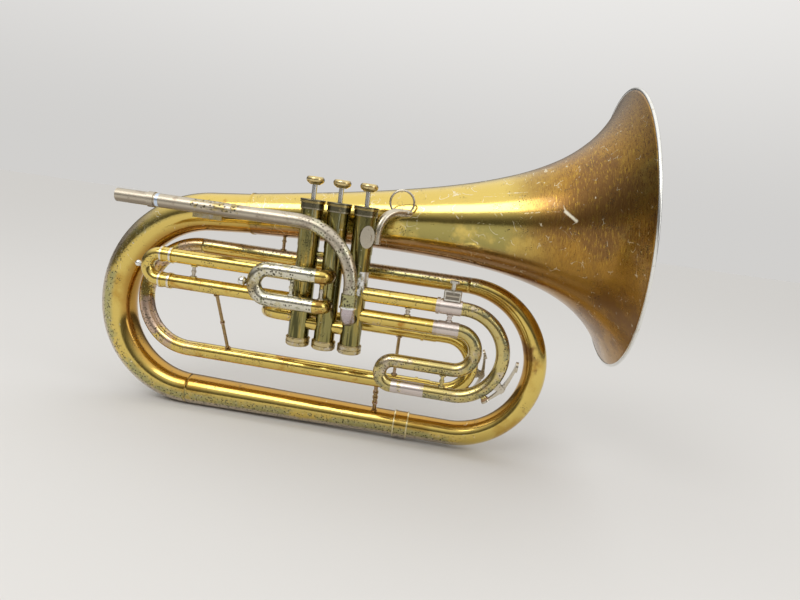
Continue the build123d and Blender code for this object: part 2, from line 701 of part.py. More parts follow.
def port_cutter(x, z, direction, radius, reach):
    """Cylinder from the valve's axis outwards along a direction, at a height."""
    with BuildPart() as cutter:
        with BuildSketch(Plane(origin=(x, VALVE_Y, z), x_dir=(0, 0, 1), z_dir=(*direction, 0))):
            Circle(radius)
        extrude(amount=reach)
    return cutter.part


def main_ports(number):
    """Height and direction of a valve's way in and of its way out."""
    way_in = (LEAD_PORT_Z, (0, -1)) if number == 3 else (MAIN_PORT_Z, (1, 0))
    way_out = (EXIT_PORT_Z if number == 1 else MAIN_PORT_Z, (-1, 0))
    return way_in, way_out


def passage(x, ends, radius, reach):
    """Solid of an air passage through a piston, from its middle out towards both ends."""
    middle = Vector(x, VALVE_Y, (ends[0][0] + ends[1][0]) / 2)
    with BuildPart() as solid:
        with Locations(middle):
            Sphere(radius)
        for z, facing in ends:
            way = Vector(x, VALVE_Y, z) + Vector(*facing, 0) * PISTON_RADIUS - middle
            with BuildSketch(Plane(origin=middle, z_dir=way)):
                Circle(radius)
            extrude(amount=way.length * reach / PISTON_RADIUS)
    return solid.part


def valve_casing(number, x, ports):
    """Casing with its ports and the fixed key that guides the piston."""
    upper, lower, direction = ports
    with BuildPart() as casing:
        for base, top, radius in ((CASING_BOTTOM, CASING_SEAM, CASING_RADIUS),
                                  (CASING_SEAM, CASING_TOP, SLEEVE_RADIUS)):
            with BuildSketch(Plane.XY.offset(base)):
                with Locations((x, VALVE_Y)):
                    Circle(radius)
                    Circle(CASING_BORE, mode=Mode.SUBTRACT)
            extrude(amount=top - base)
        for z, facing in (*main_ports(number), (upper, direction), (lower, direction)):
            add(port_cutter(x, z, facing, BORE_RADIUS, CASING_RADIUS + 2), mode=Mode.SUBTRACT)
        with BuildSketch(Plane.XY.offset(GUIDE_Z)):
            with Locations((x, VALVE_Y)):
                Circle(PISTON_RADIUS - PISTON_WALL - 0.5)
                Rectangle(GUIDE_WIDTH, 2 * CASING_BORE + 0.4)
        extrude(amount=GUIDE_HEIGHT)
    return save(casing, f"valve_casing_{number}")


def valve_piston(number, x, ports):
    """Piston with its air passages, spring barrel and stem."""
    upper, lower, direction = ports
    passages = [main_ports(number)]
    for z in (lower + VALVE_STROKE, upper + VALVE_STROKE):
        passages.append(((z, direction), (z, (-direction[0], -direction[1]))))
    with BuildPart() as piston:
        with BuildSketch(Plane.XY.offset(PISTON_BOTTOM)):
            with Locations((x, VALVE_Y)):
                Circle(PISTON_RADIUS)
                Circle(PISTON_RADIUS - PISTON_WALL, mode=Mode.SUBTRACT)
        extrude(amount=PISTON_TOP - PISTON_BOTTOM)
        for ends in passages:
            add(passage(x, ends, BORE_RADIUS + 0.6, PISTON_RADIUS + 3))
        add(z_cylinder(x, VALVE_Y, PISTON_BOTTOM, PISTON_TOP, PISTON_RADIUS), mode=Mode.INTERSECT)
        for z in (PISTON_BOTTOM, PISTON_FLOOR - PISTON_WALL, PISTON_TOP - 2 * PISTON_WALL):
            add(z_cylinder(x, VALVE_Y, z, min(z + 2 * PISTON_WALL, PISTON_TOP), PISTON_RADIUS - 0.5))
        for ends in passages:
            add(passage(x, ends, BORE_RADIUS, PISTON_RADIUS + 5), mode=Mode.SUBTRACT)
        slot_base = GUIDE_Z - 0.4
        slot_top = GUIDE_Z + GUIDE_HEIGHT + VALVE_STROKE + 0.4
        with BuildSketch(Plane.XY.offset(slot_base)):
            with Locations((x, VALVE_Y)):
                Rectangle(GUIDE_WIDTH + 0.6, 2 * PISTON_RADIUS + 2)
        extrude(amount=slot_top - slot_base, mode=Mode.SUBTRACT)
        add(z_cylinder(x, VALVE_Y, PISTON_TOP - 1, BUTTON_Z + BUTTON_SOCKET, STEM_RADIUS))
    return save(piston, f"piston_{number}")


def valve_spring(number, x):
    """Coil spring between the fixed key and the top of the spring barrel."""
    base = GUIDE_Z + GUIDE_HEIGHT + SPRING_WIRE + 0.05
    height = PISTON_TOP - 2 * PISTON_WALL - SPRING_WIRE - 0.05 - base
    radius = PISTON_RADIUS - PISTON_WALL - SPRING_WIRE - 0.9
    with BuildPart() as spring:
        with BuildLine(Plane(origin=(x, VALVE_Y, base))) as coil:
            Helix(pitch=height / SPRING_TURNS, height=height, radius=radius)
        with BuildSketch(Plane(origin=coil.line @ 0, z_dir=coil.line % 0)):
            Circle(SPRING_WIRE)
        sweep(path=coil.line, is_frenet=True)
    return save(spring, f"valve_spring_{number}")


def finger_button(number, x):
    """Round finger button with a rounded edge and a dished top, screwed on the stem."""
    ball = (BUTTON_DISH_RADIUS ** 2 + BUTTON_DISH_DEPTH ** 2) / (2 * BUTTON_DISH_DEPTH)
    top = BUTTON_Z + BUTTON_HEIGHT
    low = BUTTON_Z + BUTTON_SHOULDER
    flat = x + BUTTON_RADIUS - BUTTON_SHOULDER
    with BuildPart() as button:
        with BuildSketch(side_plane(VALVE_Y)):
            with BuildLine():
                Polyline((x, top), (x, BUTTON_Z), (x + BUTTON_NECK_RADIUS, BUTTON_Z), (flat, low))
                ThreePointArc((flat, low), (x + BUTTON_RADIUS, (low + top) / 2), (flat, top))
                Line((flat, top), (x, top))
            make_face()
        revolve(axis=Axis((x, VALVE_Y, 0), (0, 0, 1)))
        with Locations((x, VALVE_Y, top - BUTTON_DISH_DEPTH + ball)):
            Sphere(ball, mode=Mode.SUBTRACT)
        add(z_cylinder(x, VALVE_Y, BUTTON_Z - 1, BUTTON_Z + BUTTON_SOCKET, STEM_RADIUS),
            mode=Mode.SUBTRACT)
    return save(button, f"finger_button_{number}")


def top_cap(number, x):
    """Screwed top cap with a wider rim and a clearance hole for the stem."""
    centre = (x, VALVE_Y)
    top = TOP_CAP_Z + TOP_CAP_HEIGHT
    with BuildPart() as cap:
        for z, height, radius in ((TOP_CAP_Z, TOP_CAP_HEIGHT, TOP_CAP_RADIUS),
                                  (TOP_CAP_Z + 0.5, 0.8, TOP_CAP_RADIUS + 0.3),
                                  (top - TOP_CAP_RIM_HEIGHT, TOP_CAP_RIM_HEIGHT, TOP_CAP_RIM_RADIUS)):
            with BuildSketch(Plane.XY.offset(z)):
                with Locations(centre):
                    Circle(radius)
            extrude(amount=height)
        fillet(cap.edges().filter_by(GeomType.CIRCLE).group_by(Axis.Z)[-1], 0.8)
        with BuildSketch(Plane.XY.offset(top - TOP_CAP_RIM_HEIGHT / 2 - TOP_CAP_GROOVE_WIDTH / 2)):
            with Locations(centre):
                Circle(TOP_CAP_RIM_RADIUS + 1)
                Circle(TOP_CAP_RIM_RADIUS - TOP_CAP_GROOVE_DEPTH, mode=Mode.SUBTRACT)
        extrude(amount=TOP_CAP_GROOVE_WIDTH, mode=Mode.SUBTRACT)
        add(z_cylinder(*centre, TOP_CAP_Z - 1, CASING_TOP, SLEEVE_RADIUS), mode=Mode.SUBTRACT)
        add(z_cylinder(*centre, CASING_TOP - 1, top + 1, STEM_RADIUS + 0.3),
            mode=Mode.SUBTRACT)
    return save(cap, f"top_cap_{number}")


def bottom_cap(number, x):
    """Screwed bottom cap with two beads and a vent hole."""
    centre = (x, VALVE_Y)
    bead = 2.6
    with BuildPart() as cap:
        with BuildSketch(Plane.XY.offset(BOTTOM_CAP_Z)):
            with Locations(centre):
                Circle(BOTTOM_CAP_RADIUS - 0.8)
        extrude(amount=BOTTOM_CAP_HEIGHT)
        for z in (BOTTOM_CAP_Z + 1.4, BOTTOM_CAP_Z + BOTTOM_CAP_HEIGHT - bead - 0.8):
            with BuildSketch(Plane.XY.offset(z)):
                with Locations(centre):
                    Circle(BOTTOM_CAP_RADIUS)
            extrude(amount=bead)
        fillet(cap.edges().filter_by(GeomType.CIRCLE).group_by(Axis.Z)[0], 1.0)
        add(z_cylinder(*centre, CASING_BOTTOM, BOTTOM_CAP_Z + 20, CASING_RADIUS), mode=Mode.SUBTRACT)
        add(z_cylinder(*centre, BOTTOM_CAP_Z - 1, BOTTOM_CAP_Z + 5, 1.6), mode=Mode.SUBTRACT)
    return save(cap, f"bottom_cap_{number}")


for valve_number, (valve_x, valve_ports) in enumerate(zip(VALVE_XS, SLIDE_PORTS), start=1):
    valve_casing(valve_number, valve_x, valve_ports)
    valve_piston(valve_number, valve_x, valve_ports)
    valve_spring(valve_number, valve_x)
    finger_button(valve_number, valve_x)
    top_cap(valve_number, valve_x)
    bottom_cap(valve_number, valve_x)

CASING_SOLIDS = [z_cylinder(x, VALVE_Y, CASING_BOTTOM, CASING_SEAM, CASING_RADIUS) for x in VALVE_XS]
SLEEVE_SOLIDS = [z_cylinder(x, VALVE_Y, CASING_SEAM, CASING_TOP, SLEEVE_RADIUS) for x in VALVE_XS]


def between_casings(number, z, outer, inner, label):
    """Short round piece joining two neighbouring casings."""
    start = VALVE_XS[number - 1]
    end = VALVE_XS[number]
    with BuildPart() as knuckle:
        add(round_tube(straight_line((start, VALVE_Y, z), (end, VALVE_Y, z)), outer, inner))
        for solid in CASING_SOLIDS[number - 1:number + 1]:
            add(solid, mode=Mode.SUBTRACT)
    return save(knuckle, label)


for pair in (1, 2):
    between_casings(pair, MAIN_PORT_Z, KNUCKLE_RADIUS, BORE_RADIUS, f"valve_knuckle_{pair}_{pair + 1}")
    between_casings(pair, CASING_BRACE_Z, CASING_BRACE_RADIUS, 0, f"casing_brace_{pair}_{pair + 1}")

# ---------------------------------------------------------------- first valve slide
SLIDE_1_HEIGHTS = (SLIDE_1_UPPER_Z, SLIDE_1_LOWER_Z)
with BuildPart() as slide_1_legs:
    for leg_z in SLIDE_1_HEIGHTS:
        add(round_tube(straight_line((VALVE_1_X, VALVE_Y, leg_z), (SLIDE_1_LEG_END, VALVE_Y, leg_z)),
                       SLIDE_OUTER, SLIDE_OUTER_BORE))
        with BuildSketch(Plane.YZ.offset(SLIDE_1_LEG_END)):
            with Locations((VALVE_Y, leg_z)):
                Circle(FERRULE_RADIUS)
                Circle(SLIDE_OUTER - SOLDER_LAP, mode=Mode.SUBTRACT)
        extrude(amount=SLIDE_1_FERRULE)
        add(slide_leg_end(SLIDE_1_LEG_END, VALVE_Y, leg_z, SLIDE_OUTER, -1))
        add(slide_leg_end(SLIDE_1_LEG_END + SLIDE_1_FERRULE, VALVE_Y, leg_z, SLIDE_OUTER, 1))
    add(post((SLIDE_1_BRACE_X, VALVE_Y, SLIDE_1_LOWER_Z + SLIDE_OUTER - SOLDER_LAP),
             (SLIDE_1_BRACE_X, VALVE_Y, SLIDE_1_UPPER_Z - SLIDE_OUTER + SOLDER_LAP)))
    for leg_z in SLIDE_1_HEIGHTS:
        add(x_cylinder(SLIDE_1_LEG_END - 5, VALVE_1_X, VALVE_Y, leg_z, SLIDE_OUTER_BORE),
            mode=Mode.SUBTRACT)
    add(CASING_SOLIDS[0], mode=Mode.SUBTRACT)
save(slide_1_legs, "slide_1_legs")

SLIDE_1_BEND = (SLIDE_1_UPPER_Z - SLIDE_1_LOWER_Z) / 2
SLIDE_1_BEND_X = SLIDE_1_LEG_END - 1.5
SLIDE_1_INNER_START = SLIDE_1_LEG_END + SLIDE_1_INSIDE
with BuildLine(side_plane(VALVE_Y)) as crook_1_path:
    crook_1_top = Line((SLIDE_1_INNER_START, SLIDE_1_UPPER_Z), (SLIDE_1_BEND_X, SLIDE_1_UPPER_Z))
    crook_1_arc = JernArc(crook_1_top @ 1, crook_1_top % 1, SLIDE_1_BEND, 180)
    Line(crook_1_arc @ 1, (SLIDE_1_INNER_START, SLIDE_1_LOWER_Z))
CROOK_1_LEFT = SLIDE_1_BEND_X - SLIDE_1_BEND - SLIDE_INNER
CROOK_1_MID_Z = (SLIDE_1_UPPER_Z + SLIDE_1_LOWER_Z) / 2
CROOK_1_KNOB_X = CROOK_1_LEFT - SLIDE_1_KNOB_RADIUS
with BuildPart() as slide_1_crook:
    with BuildSketch(Plane.YZ.offset(CROOK_1_LEFT + SLIDE_INNER)):
        with Locations((VALVE_Y, CROOK_1_MID_Z)):
            Circle(SLIDE_1_KNOB_NECK)
    extrude(amount=-SLIDE_INNER - SLIDE_1_KNOB_RADIUS)
    with Locations((CROOK_1_KNOB_X, VALVE_Y, CROOK_1_MID_Z)):
        Sphere(SLIDE_1_KNOB_RADIUS)
    add(round_tube(crook_1_path.wire(), SLIDE_INNER, 0))
    add(round_tube(crook_1_path.wire(), SLIDE_INNER_BORE, 0), mode=Mode.SUBTRACT)
save(slide_1_crook, "slide_1_crook")

# ---------------------------------------------------------------- second valve slide
SLIDE_2_HEIGHTS = (SLIDE_2_UPPER_Z, SLIDE_2_LOWER_Z)
SLIDE_2_LEG_END = SLIDE_2_BEND_X + 2.0


def elbow_path(z):
    """Path from the slide 2 elbow's open end, round into the front of valve 2."""
    with BuildLine(Plane.XY.offset(z)) as path:
        run = Line((SLIDE_2_ELBOW_END, SLIDE_2_Y), (VALVE_2_X - SLIDE_2_ELBOW, SLIDE_2_Y))
        bend = JernArc(run @ 1, run % 1, SLIDE_2_ELBOW, 90)
        Line(bend @ 1, (VALVE_2_X, VALVE_Y))
    return path.wire()


with BuildPart() as slide_2_legs:
    for leg_z in SLIDE_2_HEIGHTS:
        add(round_tube(elbow_path(leg_z), SLIDE_OUTER, SLIDE_INNER_BORE, (0, 0, 1)))
        add(round_tube(straight_line((SLIDE_2_LEG_END, SLIDE_2_Y, leg_z),
                                     (SLIDE_2_ELBOW_END + 0.5, SLIDE_2_Y, leg_z)),
                       SLIDE_INNER, SLIDE_INNER_BORE))
    add(post((VALVE_2_X - 3, SLIDE_2_Y + 2, SLIDE_2_LOWER_Z + SLIDE_OUTER - 0.7),
             (VALVE_2_X - 3, SLIDE_2_Y + 2, SLIDE_2_UPPER_Z - SLIDE_OUTER + 0.7)))
    add(CASING_SOLIDS[1], mode=Mode.SUBTRACT)
save(slide_2_legs, "slide_2_legs")

SLIDE_2_BEND = (SLIDE_2_UPPER_Z - SLIDE_2_LOWER_Z) / 2
SLIDE_2_SLEEVE_END = SLIDE_2_ELBOW_END - 0.4
with BuildLine(side_plane(SLIDE_2_Y)) as crook_2_path:
    crook_2_top = Line((SLIDE_2_SLEEVE_END, SLIDE_2_UPPER_Z), (SLIDE_2_BEND_X, SLIDE_2_UPPER_Z))
    crook_2_arc = JernArc(crook_2_top @ 1, crook_2_top % 1, SLIDE_2_BEND, 180)
    Line(crook_2_arc @ 1, (SLIDE_2_SLEEVE_END, SLIDE_2_LOWER_Z))
KNOB_TURN = radians(SLIDE_2_KNOB_ANGLE)
KNOB_DIRECTION = Vector(-sin(KNOB_TURN), -cos(KNOB_TURN), 0)
CROOK_2_MIDDLE = Vector(SLIDE_2_BEND_X - SLIDE_2_BEND, SLIDE_2_Y, (SLIDE_2_UPPER_Z + SLIDE_2_LOWER_Z) / 2)
with BuildPart() as slide_2_crook:
    with BuildSketch(Plane(origin=CROOK_2_MIDDLE, z_dir=KNOB_DIRECTION)):
        Circle(SLIDE_2_KNOB_NECK)
    extrude(amount=SLIDE_OUTER + 2)
    with Locations(CROOK_2_MIDDLE + KNOB_DIRECTION * (SLIDE_OUTER + 3.6)):
        Sphere(SLIDE_2_KNOB_RADIUS)
    add(post((SLIDE_2_BRACE_X, SLIDE_2_Y, SLIDE_2_LOWER_Z + SLIDE_OUTER - SOLDER_LAP),
             (SLIDE_2_BRACE_X, SLIDE_2_Y, SLIDE_2_UPPER_Z - SLIDE_OUTER + SOLDER_LAP)))
    add(round_tube(crook_2_path.wire(), SLIDE_OUTER, 0))
    add(round_tube(crook_2_path.wire(), SLIDE_OUTER_BORE, 0), mode=Mode.SUBTRACT)
save(slide_2_crook, "slide_2_crook")

# ---------------------------------------------------------------- third valve slide
SLIDE_3_HEIGHTS = (SLIDE_3_UPPER_Z, SLIDE_3_LOWER_Z)
with BuildPart() as slide_3_legs:
    for leg_z in SLIDE_3_HEIGHTS:
        add(round_tube(straight_line((VALVE_3_X, VALVE_Y, leg_z), (SLIDE_3_LEG_END, VALVE_Y, leg_z)),
                       SLIDE_OUTER, SLIDE_OUTER_BORE))
    add(slide_leg_end(SLIDE_3_LEG_END, VALVE_Y, SLIDE_3_UPPER_Z, SLIDE_OUTER, 1))
    add(post((SLIDE_3_LEG_BRACE_X, VALVE_Y, SLIDE_3_LOWER_Z + SLIDE_OUTER - SOLDER_LAP),
             (SLIDE_3_LEG_BRACE_X, VALVE_Y, SLIDE_3_UPPER_Z - SLIDE_OUTER + SOLDER_LAP)))
    add(CASING_SOLIDS[2], mode=Mode.SUBTRACT)
save(slide_3_legs, "slide_3_legs")

OUTER_BEND = (SLIDE_3_UPPER_Z - SLIDE_3_BOTTOM_Z) / 2
INNER_BEND = (SLIDE_3_LOWER_Z - SLIDE_3_MIDDLE_Z) / 2
SMALL_BEND = (SLIDE_3_MIDDLE_Z - SLIDE_3_BOTTOM_Z) / 2
SLIDE_3_INNER_START = SLIDE_3_LEG_END - SLIDE_3_INSIDE
SLIDE_3_FERRULE_X = SLIDE_3_LEG_END + 0.6
SLIDE_3_FERRULE_END = SLIDE_3_FERRULE_X + SLIDE_3_FERRULE
LYRE_X = (SLIDE_3_FERRULE_X + SLIDE_3_FERRULE_END) / 2
OUTER_BEND_CENTRE = (SLIDE_3_OUTER_BEND_X, SLIDE_3_BOTTOM_Z + OUTER_BEND)
key_1 = WaterKey(OUTER_BEND_CENTRE, OUTER_BEND, BEND_RADIUS, VALVE_Y, -52, -32, -3)

with BuildLine(side_plane(VALVE_Y)) as loop_path:
    loop_upper = Line((SLIDE_3_FERRULE_X, SLIDE_3_UPPER_Z), (SLIDE_3_OUTER_BEND_X, SLIDE_3_UPPER_Z))
    loop_outer = JernArc(loop_upper @ 1, loop_upper % 1, OUTER_BEND, -180)
    loop_bottom = Line(loop_outer @ 1, (SLIDE_3_SMALL_BEND_X, SLIDE_3_BOTTOM_Z))
    loop_small = JernArc(loop_bottom @ 1, loop_bottom % 1, SMALL_BEND, -180)
    loop_middle = Line(loop_small @ 1, (SLIDE_3_INNER_BEND_X, SLIDE_3_MIDDLE_Z))
    loop_inner = JernArc(loop_middle @ 1, loop_middle % 1, INNER_BEND, 180)
    Line(loop_inner @ 1, (SLIDE_3_FERRULE_X, SLIDE_3_LOWER_Z))
with BuildPart() as slide_3_crook:
    add(round_tube(loop_path.wire(), BEND_RADIUS, 0))
    for leg_z in SLIDE_3_HEIGHTS:
        add(x_cylinder(SLIDE_3_INNER_START, SLIDE_3_FERRULE_X + 1, VALVE_Y, leg_z, SLIDE_INNER))
        add(x_cylinder(SLIDE_3_FERRULE_X, SLIDE_3_FERRULE_END, VALVE_Y, leg_z, FERRULE_RADIUS))
    add(post((LYRE_X, VALVE_Y, SLIDE_3_LOWER_Z + FERRULE_RADIUS - SOLDER_LAP),
             (LYRE_X, VALVE_Y, SLIDE_3_UPPER_Z - FERRULE_RADIUS + SOLDER_LAP)))
    add(post((LYRE_X + 2, VALVE_Y, SLIDE_3_BOTTOM_Z + BEND_RADIUS - SOLDER_LAP),
             (LYRE_X + 2, VALVE_Y, SLIDE_3_MIDDLE_Z - BEND_RADIUS + SOLDER_LAP)))
    loop_seat, loop_drain = key_nipple(key_1)
    add(loop_seat)
    add(loop_drain, mode=Mode.SUBTRACT)
    add(round_tube(loop_path.wire(), SLIDE_INNER_BORE, 0), mode=Mode.SUBTRACT)
    for leg_z in SLIDE_3_HEIGHTS:
        add(x_cylinder(SLIDE_3_INNER_START - 1, SLIDE_3_FERRULE_X + 1, VALVE_Y, leg_z, SLIDE_INNER_BORE),
            mode=Mode.SUBTRACT)
save(slide_3_crook, "slide_3_crook")
water_key_nodes(key_1, round_tube(loop_path.wire(), BEND_RADIUS, 0), 1)

# ---------------------------------------------------------------- lyre holder
LYRE_BASE = SLIDE_3_UPPER_Z + FERRULE_RADIUS - 1.0
LYRE_CENTRE_Z = LYRE_BASE + 1.0 + LYRE_HEIGHT / 2
LYRE_TOP = LYRE_BASE + 1.0 + LYRE_HEIGHT
with BuildPart() as lyre_box:
    with BuildSketch(Plane.XY.offset(LYRE_BASE)):
        with Locations((LYRE_X, VALVE_Y)):
            Rectangle(LYRE_LENGTH, LYRE_DEPTH)
    extrude(amount=LYRE_TOP - LYRE_BASE)
    chamfer(lyre_box.edges().filter_by(Axis.Z), 0.8)
    add(x_cylinder(LYRE_X - LYRE_LENGTH, LYRE_X + LYRE_LENGTH, VALVE_Y, SLIDE_3_UPPER_Z, FERRULE_RADIUS),
        mode=Mode.SUBTRACT)
    add(x_cylinder(LYRE_X - LYRE_LENGTH, LYRE_X + LYRE_LENGTH, VALVE_Y, LYRE_CENTRE_Z, LYRE_BORE),
        mode=Mode.SUBTRACT)
    add(z_cylinder(LYRE_X, VALVE_Y, LYRE_CENTRE_Z, LYRE_TOP + 1, LYRE_SCREW_RADIUS + 0.05),
        mode=Mode.SUBTRACT)
save(lyre_box, "lyre_box")

LYRE_SCREW_TIP = LYRE_CENTRE_Z + LYRE_BORE + 0.1
with BuildPart() as lyre_screw:
    with BuildSketch(Plane.XY.offset(LYRE_SCREW_TIP)):
        with Locations((LYRE_X, VALVE_Y)):
            Circle(LYRE_SCREW_RADIUS)
    extrude(amount=LYRE_TOP + LYRE_SHANK - LYRE_SCREW_TIP)
    with BuildSketch(Plane.XY.offset(LYRE_TOP + 1.0)):
        with Locations((LYRE_X, VALVE_Y)):
            Circle(LYRE_SCREW_RADIUS + 0.7)
    extrude(amount=LYRE_SHANK - 1.0)
    with BuildSketch(Plane.XY.offset(LYRE_TOP + LYRE_SHANK)):
        with Locations((LYRE_X, VALVE_Y)):
            Circle(LYRE_HEAD_RADIUS)
            with PolarLocations(LYRE_HEAD_RADIUS + 0.3, 12):
                Circle(0.7, mode=Mode.SUBTRACT)
    extrude(amount=LYRE_HEAD_THICKNESS)
save(lyre_screw, "lyre_screw")

# ---------------------------------------------------------------- leadpipe
LEAD_PIPE_START = LEAD_TIP_X + RECEIVER_DEPTH
with BuildLine(side_plane(LEAD_Y)) as lead_path:
    lead_run = Line((LEAD_PIPE_START, LEAD_Z), (LEAD_DROP_X - LEAD_BEND, LEAD_Z))
    lead_arc = JernArc(lead_run @ 1, lead_run % 1, LEAD_BEND, -90)
    Line(lead_arc @ 1, (LEAD_DROP_X, LEAD_FERRULE_BOTTOM + 6.0))
with BuildPart() as leadpipe:
    add(round_tube(lead_path.wire(), LEAD_RADIUS, LEAD_RADIUS - LEAD_WALL))
leadpipe_part = save(leadpipe, "leadpipe")

with BuildPart() as receiver:
    with BuildSketch(Plane.YZ.offset(LEAD_TIP_X)):
        with Locations((LEAD_Y, LEAD_Z)):
            Circle(RECEIVER_RADIUS)
            Circle(RECEIVER_BORE, mode=Mode.SUBTRACT)
    extrude(amount=RECEIVER_DEPTH)
    with BuildSketch(Plane.YZ.offset(LEAD_TIP_X + RECEIVER_DEPTH)):
        with Locations((LEAD_Y, LEAD_Z)):
            Circle(LEAD_RADIUS + 0.7)
            Circle(LEAD_RADIUS, mode=Mode.SUBTRACT)
    extrude(amount=RECEIVER_LENGTH - RECEIVER_DEPTH)
    with BuildSketch(Plane.YZ.offset(LEAD_TIP_X + RECEIVER_DEPTH - 1.0)):
        with Locations((LEAD_Y, LEAD_Z)):
            Circle(LEAD_RADIUS + 0.7)
            Circle(RECEIVER_BORE + 0.5, mode=Mode.SUBTRACT)
    extrude(amount=1.0)
save(receiver, "mouthpiece_receiver")

with BuildLine(Plane.YZ.offset(LEAD_DROP_X)) as elbow_line:
    drop = Line((LEAD_Y, LEAD_FERRULE_BOTTOM + 6.0), (LEAD_Y, LEAD_PORT_Z + LEAD_ELBOW))
    elbow_arc = JernArc(drop @ 1, drop % 1, LEAD_ELBOW, 90)
    Line(elbow_arc @ 1, (VALVE_Y, LEAD_PORT_Z))
with BuildPart() as lead_elbow:
    add(round_tube(elbow_line.wire(), LEAD_RADIUS + 0.3, BORE_RADIUS, (1, 0, 0)))
    add(CASING_SOLIDS[2], mode=Mode.SUBTRACT)
lead_elbow_part = save(lead_elbow, "leadpipe_elbow")

with BuildPart() as lead_ferrule:
    with BuildSketch(Plane.XY.offset(LEAD_FERRULE_BOTTOM)):
        with Locations((LEAD_DROP_X, LEAD_Y)):
            Circle(LEAD_RADIUS + 1.1)
            Circle(LEAD_RADIUS - 0.4, mode=Mode.SUBTRACT)
    extrude(amount=LEAD_FERRULE_TOP - LEAD_FERRULE_BOTTOM)
    with BuildSketch(Plane.XY.offset(LEAD_FERRULE_BOTTOM)):
        with Locations((LEAD_DROP_X, LEAD_Y)):
            Circle(LEAD_RADIUS + 1.1 + LEAD_FERRULE_BEAD)
            Circle(LEAD_RADIUS + 0.5, mode=Mode.SUBTRACT)
    extrude(amount=1.5)
    add(leadpipe_part, mode=Mode.SUBTRACT)
    add(lead_elbow_part, mode=Mode.SUBTRACT)
save(lead_ferrule, "leadpipe_ferrule")

BRACKET_WAIST_Y = (LEAD_Y + BRACKET_FAR_Y) / 2
with BuildPart() as lead_bracket:
    with BuildSketch(Plane.XY.offset(BRACKET_BASE)):
        with BuildLine():
            Polyline((BRACKET_X - BRACKET_WIDTH / 2, LEAD_Y),
                     (BRACKET_X + BRACKET_WIDTH / 2, LEAD_Y),
                     (BRACKET_X + BRACKET_WAIST / 2, BRACKET_WAIST_Y),
                     (BRACKET_X + BRACKET_WIDTH / 2, BRACKET_FAR_Y),
                     (BRACKET_X - BRACKET_WIDTH / 2, BRACKET_FAR_Y),
                     (BRACKET_X - BRACKET_WAIST / 2, BRACKET_WAIST_Y), close=True)
        make_face()
    extrude(amount=BRACKET_THICKNESS)
    add(x_cylinder(BRACKET_X - BRACKET_WIDTH, BRACKET_X + BRACKET_WIDTH, LEAD_Y, LEAD_Z, LEAD_RADIUS),
        mode=Mode.SUBTRACT)
    add(left_bow_solid, mode=Mode.SUBTRACT)
save(lead_bracket, "leadpipe_bracket")

# ---------------------------------------------------------------- hand brace and finger ring
HAND_START = Vector(VALVE_3_X + HAND_BRACE_OFFSET[0], VALVE_Y + HAND_BRACE_OFFSET[1], HAND_BRACE_FOOT_Z)
HAND_END = Vector(HAND_BRACE_END)
HAND_LEVEL = Vector(HAND_END.X - HAND_START.X, HAND_END.Y - HAND_START.Y, 0)
HAND_PLANE = Plane(origin=HAND_START, x_dir=HAND_LEVEL, z_dir=HAND_LEVEL.cross(Vector(0, 0, 1)))
HAND_RISE = HAND_END.Z - HAND_START.Z
with BuildLine(HAND_PLANE) as hand_path:
    hand_up = Line((0, 0), (0, HAND_RISE - HAND_BRACE_BEND))
    hand_arc = JernArc(hand_up @ 1, hand_up % 1, HAND_BRACE_BEND, -90)
    Line(hand_arc @ 1, (HAND_LEVEL.length, HAND_RISE))
with BuildPart() as hand_brace:
    add(round_tube(hand_path.wire(), HAND_BRACE_RADIUS, 0, HAND_PLANE.z_dir))
    leaf_plane = Plane(origin=(VALVE_3_X, VALVE_Y, LEAF_Z), x_dir=(0, 0, 1), z_dir=(0.5, -0.87, 0))
    with BuildSketch(leaf_plane):
        Ellipse(LEAF_HEIGHT / 2, LEAF_WIDTH / 2)
    extrude(amount=SLEEVE_RADIUS + 1.0)
    with BuildSketch(Plane(origin=leaf_plane.origin, x_dir=(0, 0, 1), z_dir=(0.94, -0.34, 0))):
        Rectangle(*LEAF_STRAP)
    extrude(amount=SLEEVE_RADIUS + 1.0)
    for solid in (CASING_SOLIDS[2], SLEEVE_SOLIDS[2], bell_solid):
        add(solid, mode=Mode.SUBTRACT)
hand_brace_part = save(hand_brace, "hand_brace")

with BuildPart() as finger_ring:
    with BuildSketch(Plane(origin=RING_CENTRE, x_dir=(0, 1, 0), z_dir=(0, 0, 1))):
        with Locations((0, -RING_RADIUS)):
            Circle(RING_WIRE)
    revolve(axis=Axis(RING_CENTRE, (0, 1, 0)))
    add(hand_brace_part, mode=Mode.SUBTRACT)
save(finger_ring, "finger_ring")

# ---------------------------------------------------------------- braces
with BuildPart() as lower_brace:
    add(post((LOWER_BRACE_X, INNER_Y + 3, INNER_Z - INNER_TUBE_RADIUS + 1.5),
             (LOWER_BRACE_X, -4, BOTTOM_Z + BOTTOM_JOINT_RADIUS - 0.5),
             LOWER_BRACE_RADIUS, (0.3, 0.5, 0.7)))
    add(x_cylinder(0, 80, INNER_Y, INNER_Z, INNER_TUBE_RADIUS), mode=Mode.SUBTRACT)
    add(bottom_solid, mode=Mode.SUBTRACT)
save(lower_brace, "lower_brace")

DIAGONAL_TOP = Vector(DIAGONAL_TOP_X, VALVE_Y + 2, SLIDE_1_LOWER_Z - SLIDE_OUTER + 0.6)
DIAGONAL_FOOT = Vector(DIAGONAL_FOOT_X, INNER_Y - 3, INNER_Z + INNER_TUBE_RADIUS - 1.0)
with BuildPart() as slide_1_brace:
    add(post(DIAGONAL_TOP, DIAGONAL_FOOT))
    add(x_cylinder(-170, -60, VALVE_Y, SLIDE_1_LOWER_Z, SLIDE_OUTER), mode=Mode.SUBTRACT)
    add(x_cylinder(-160, -60, INNER_Y, INNER_Z, INNER_TUBE_RADIUS), mode=Mode.SUBTRACT)
save(slide_1_brace, "slide_1_brace")

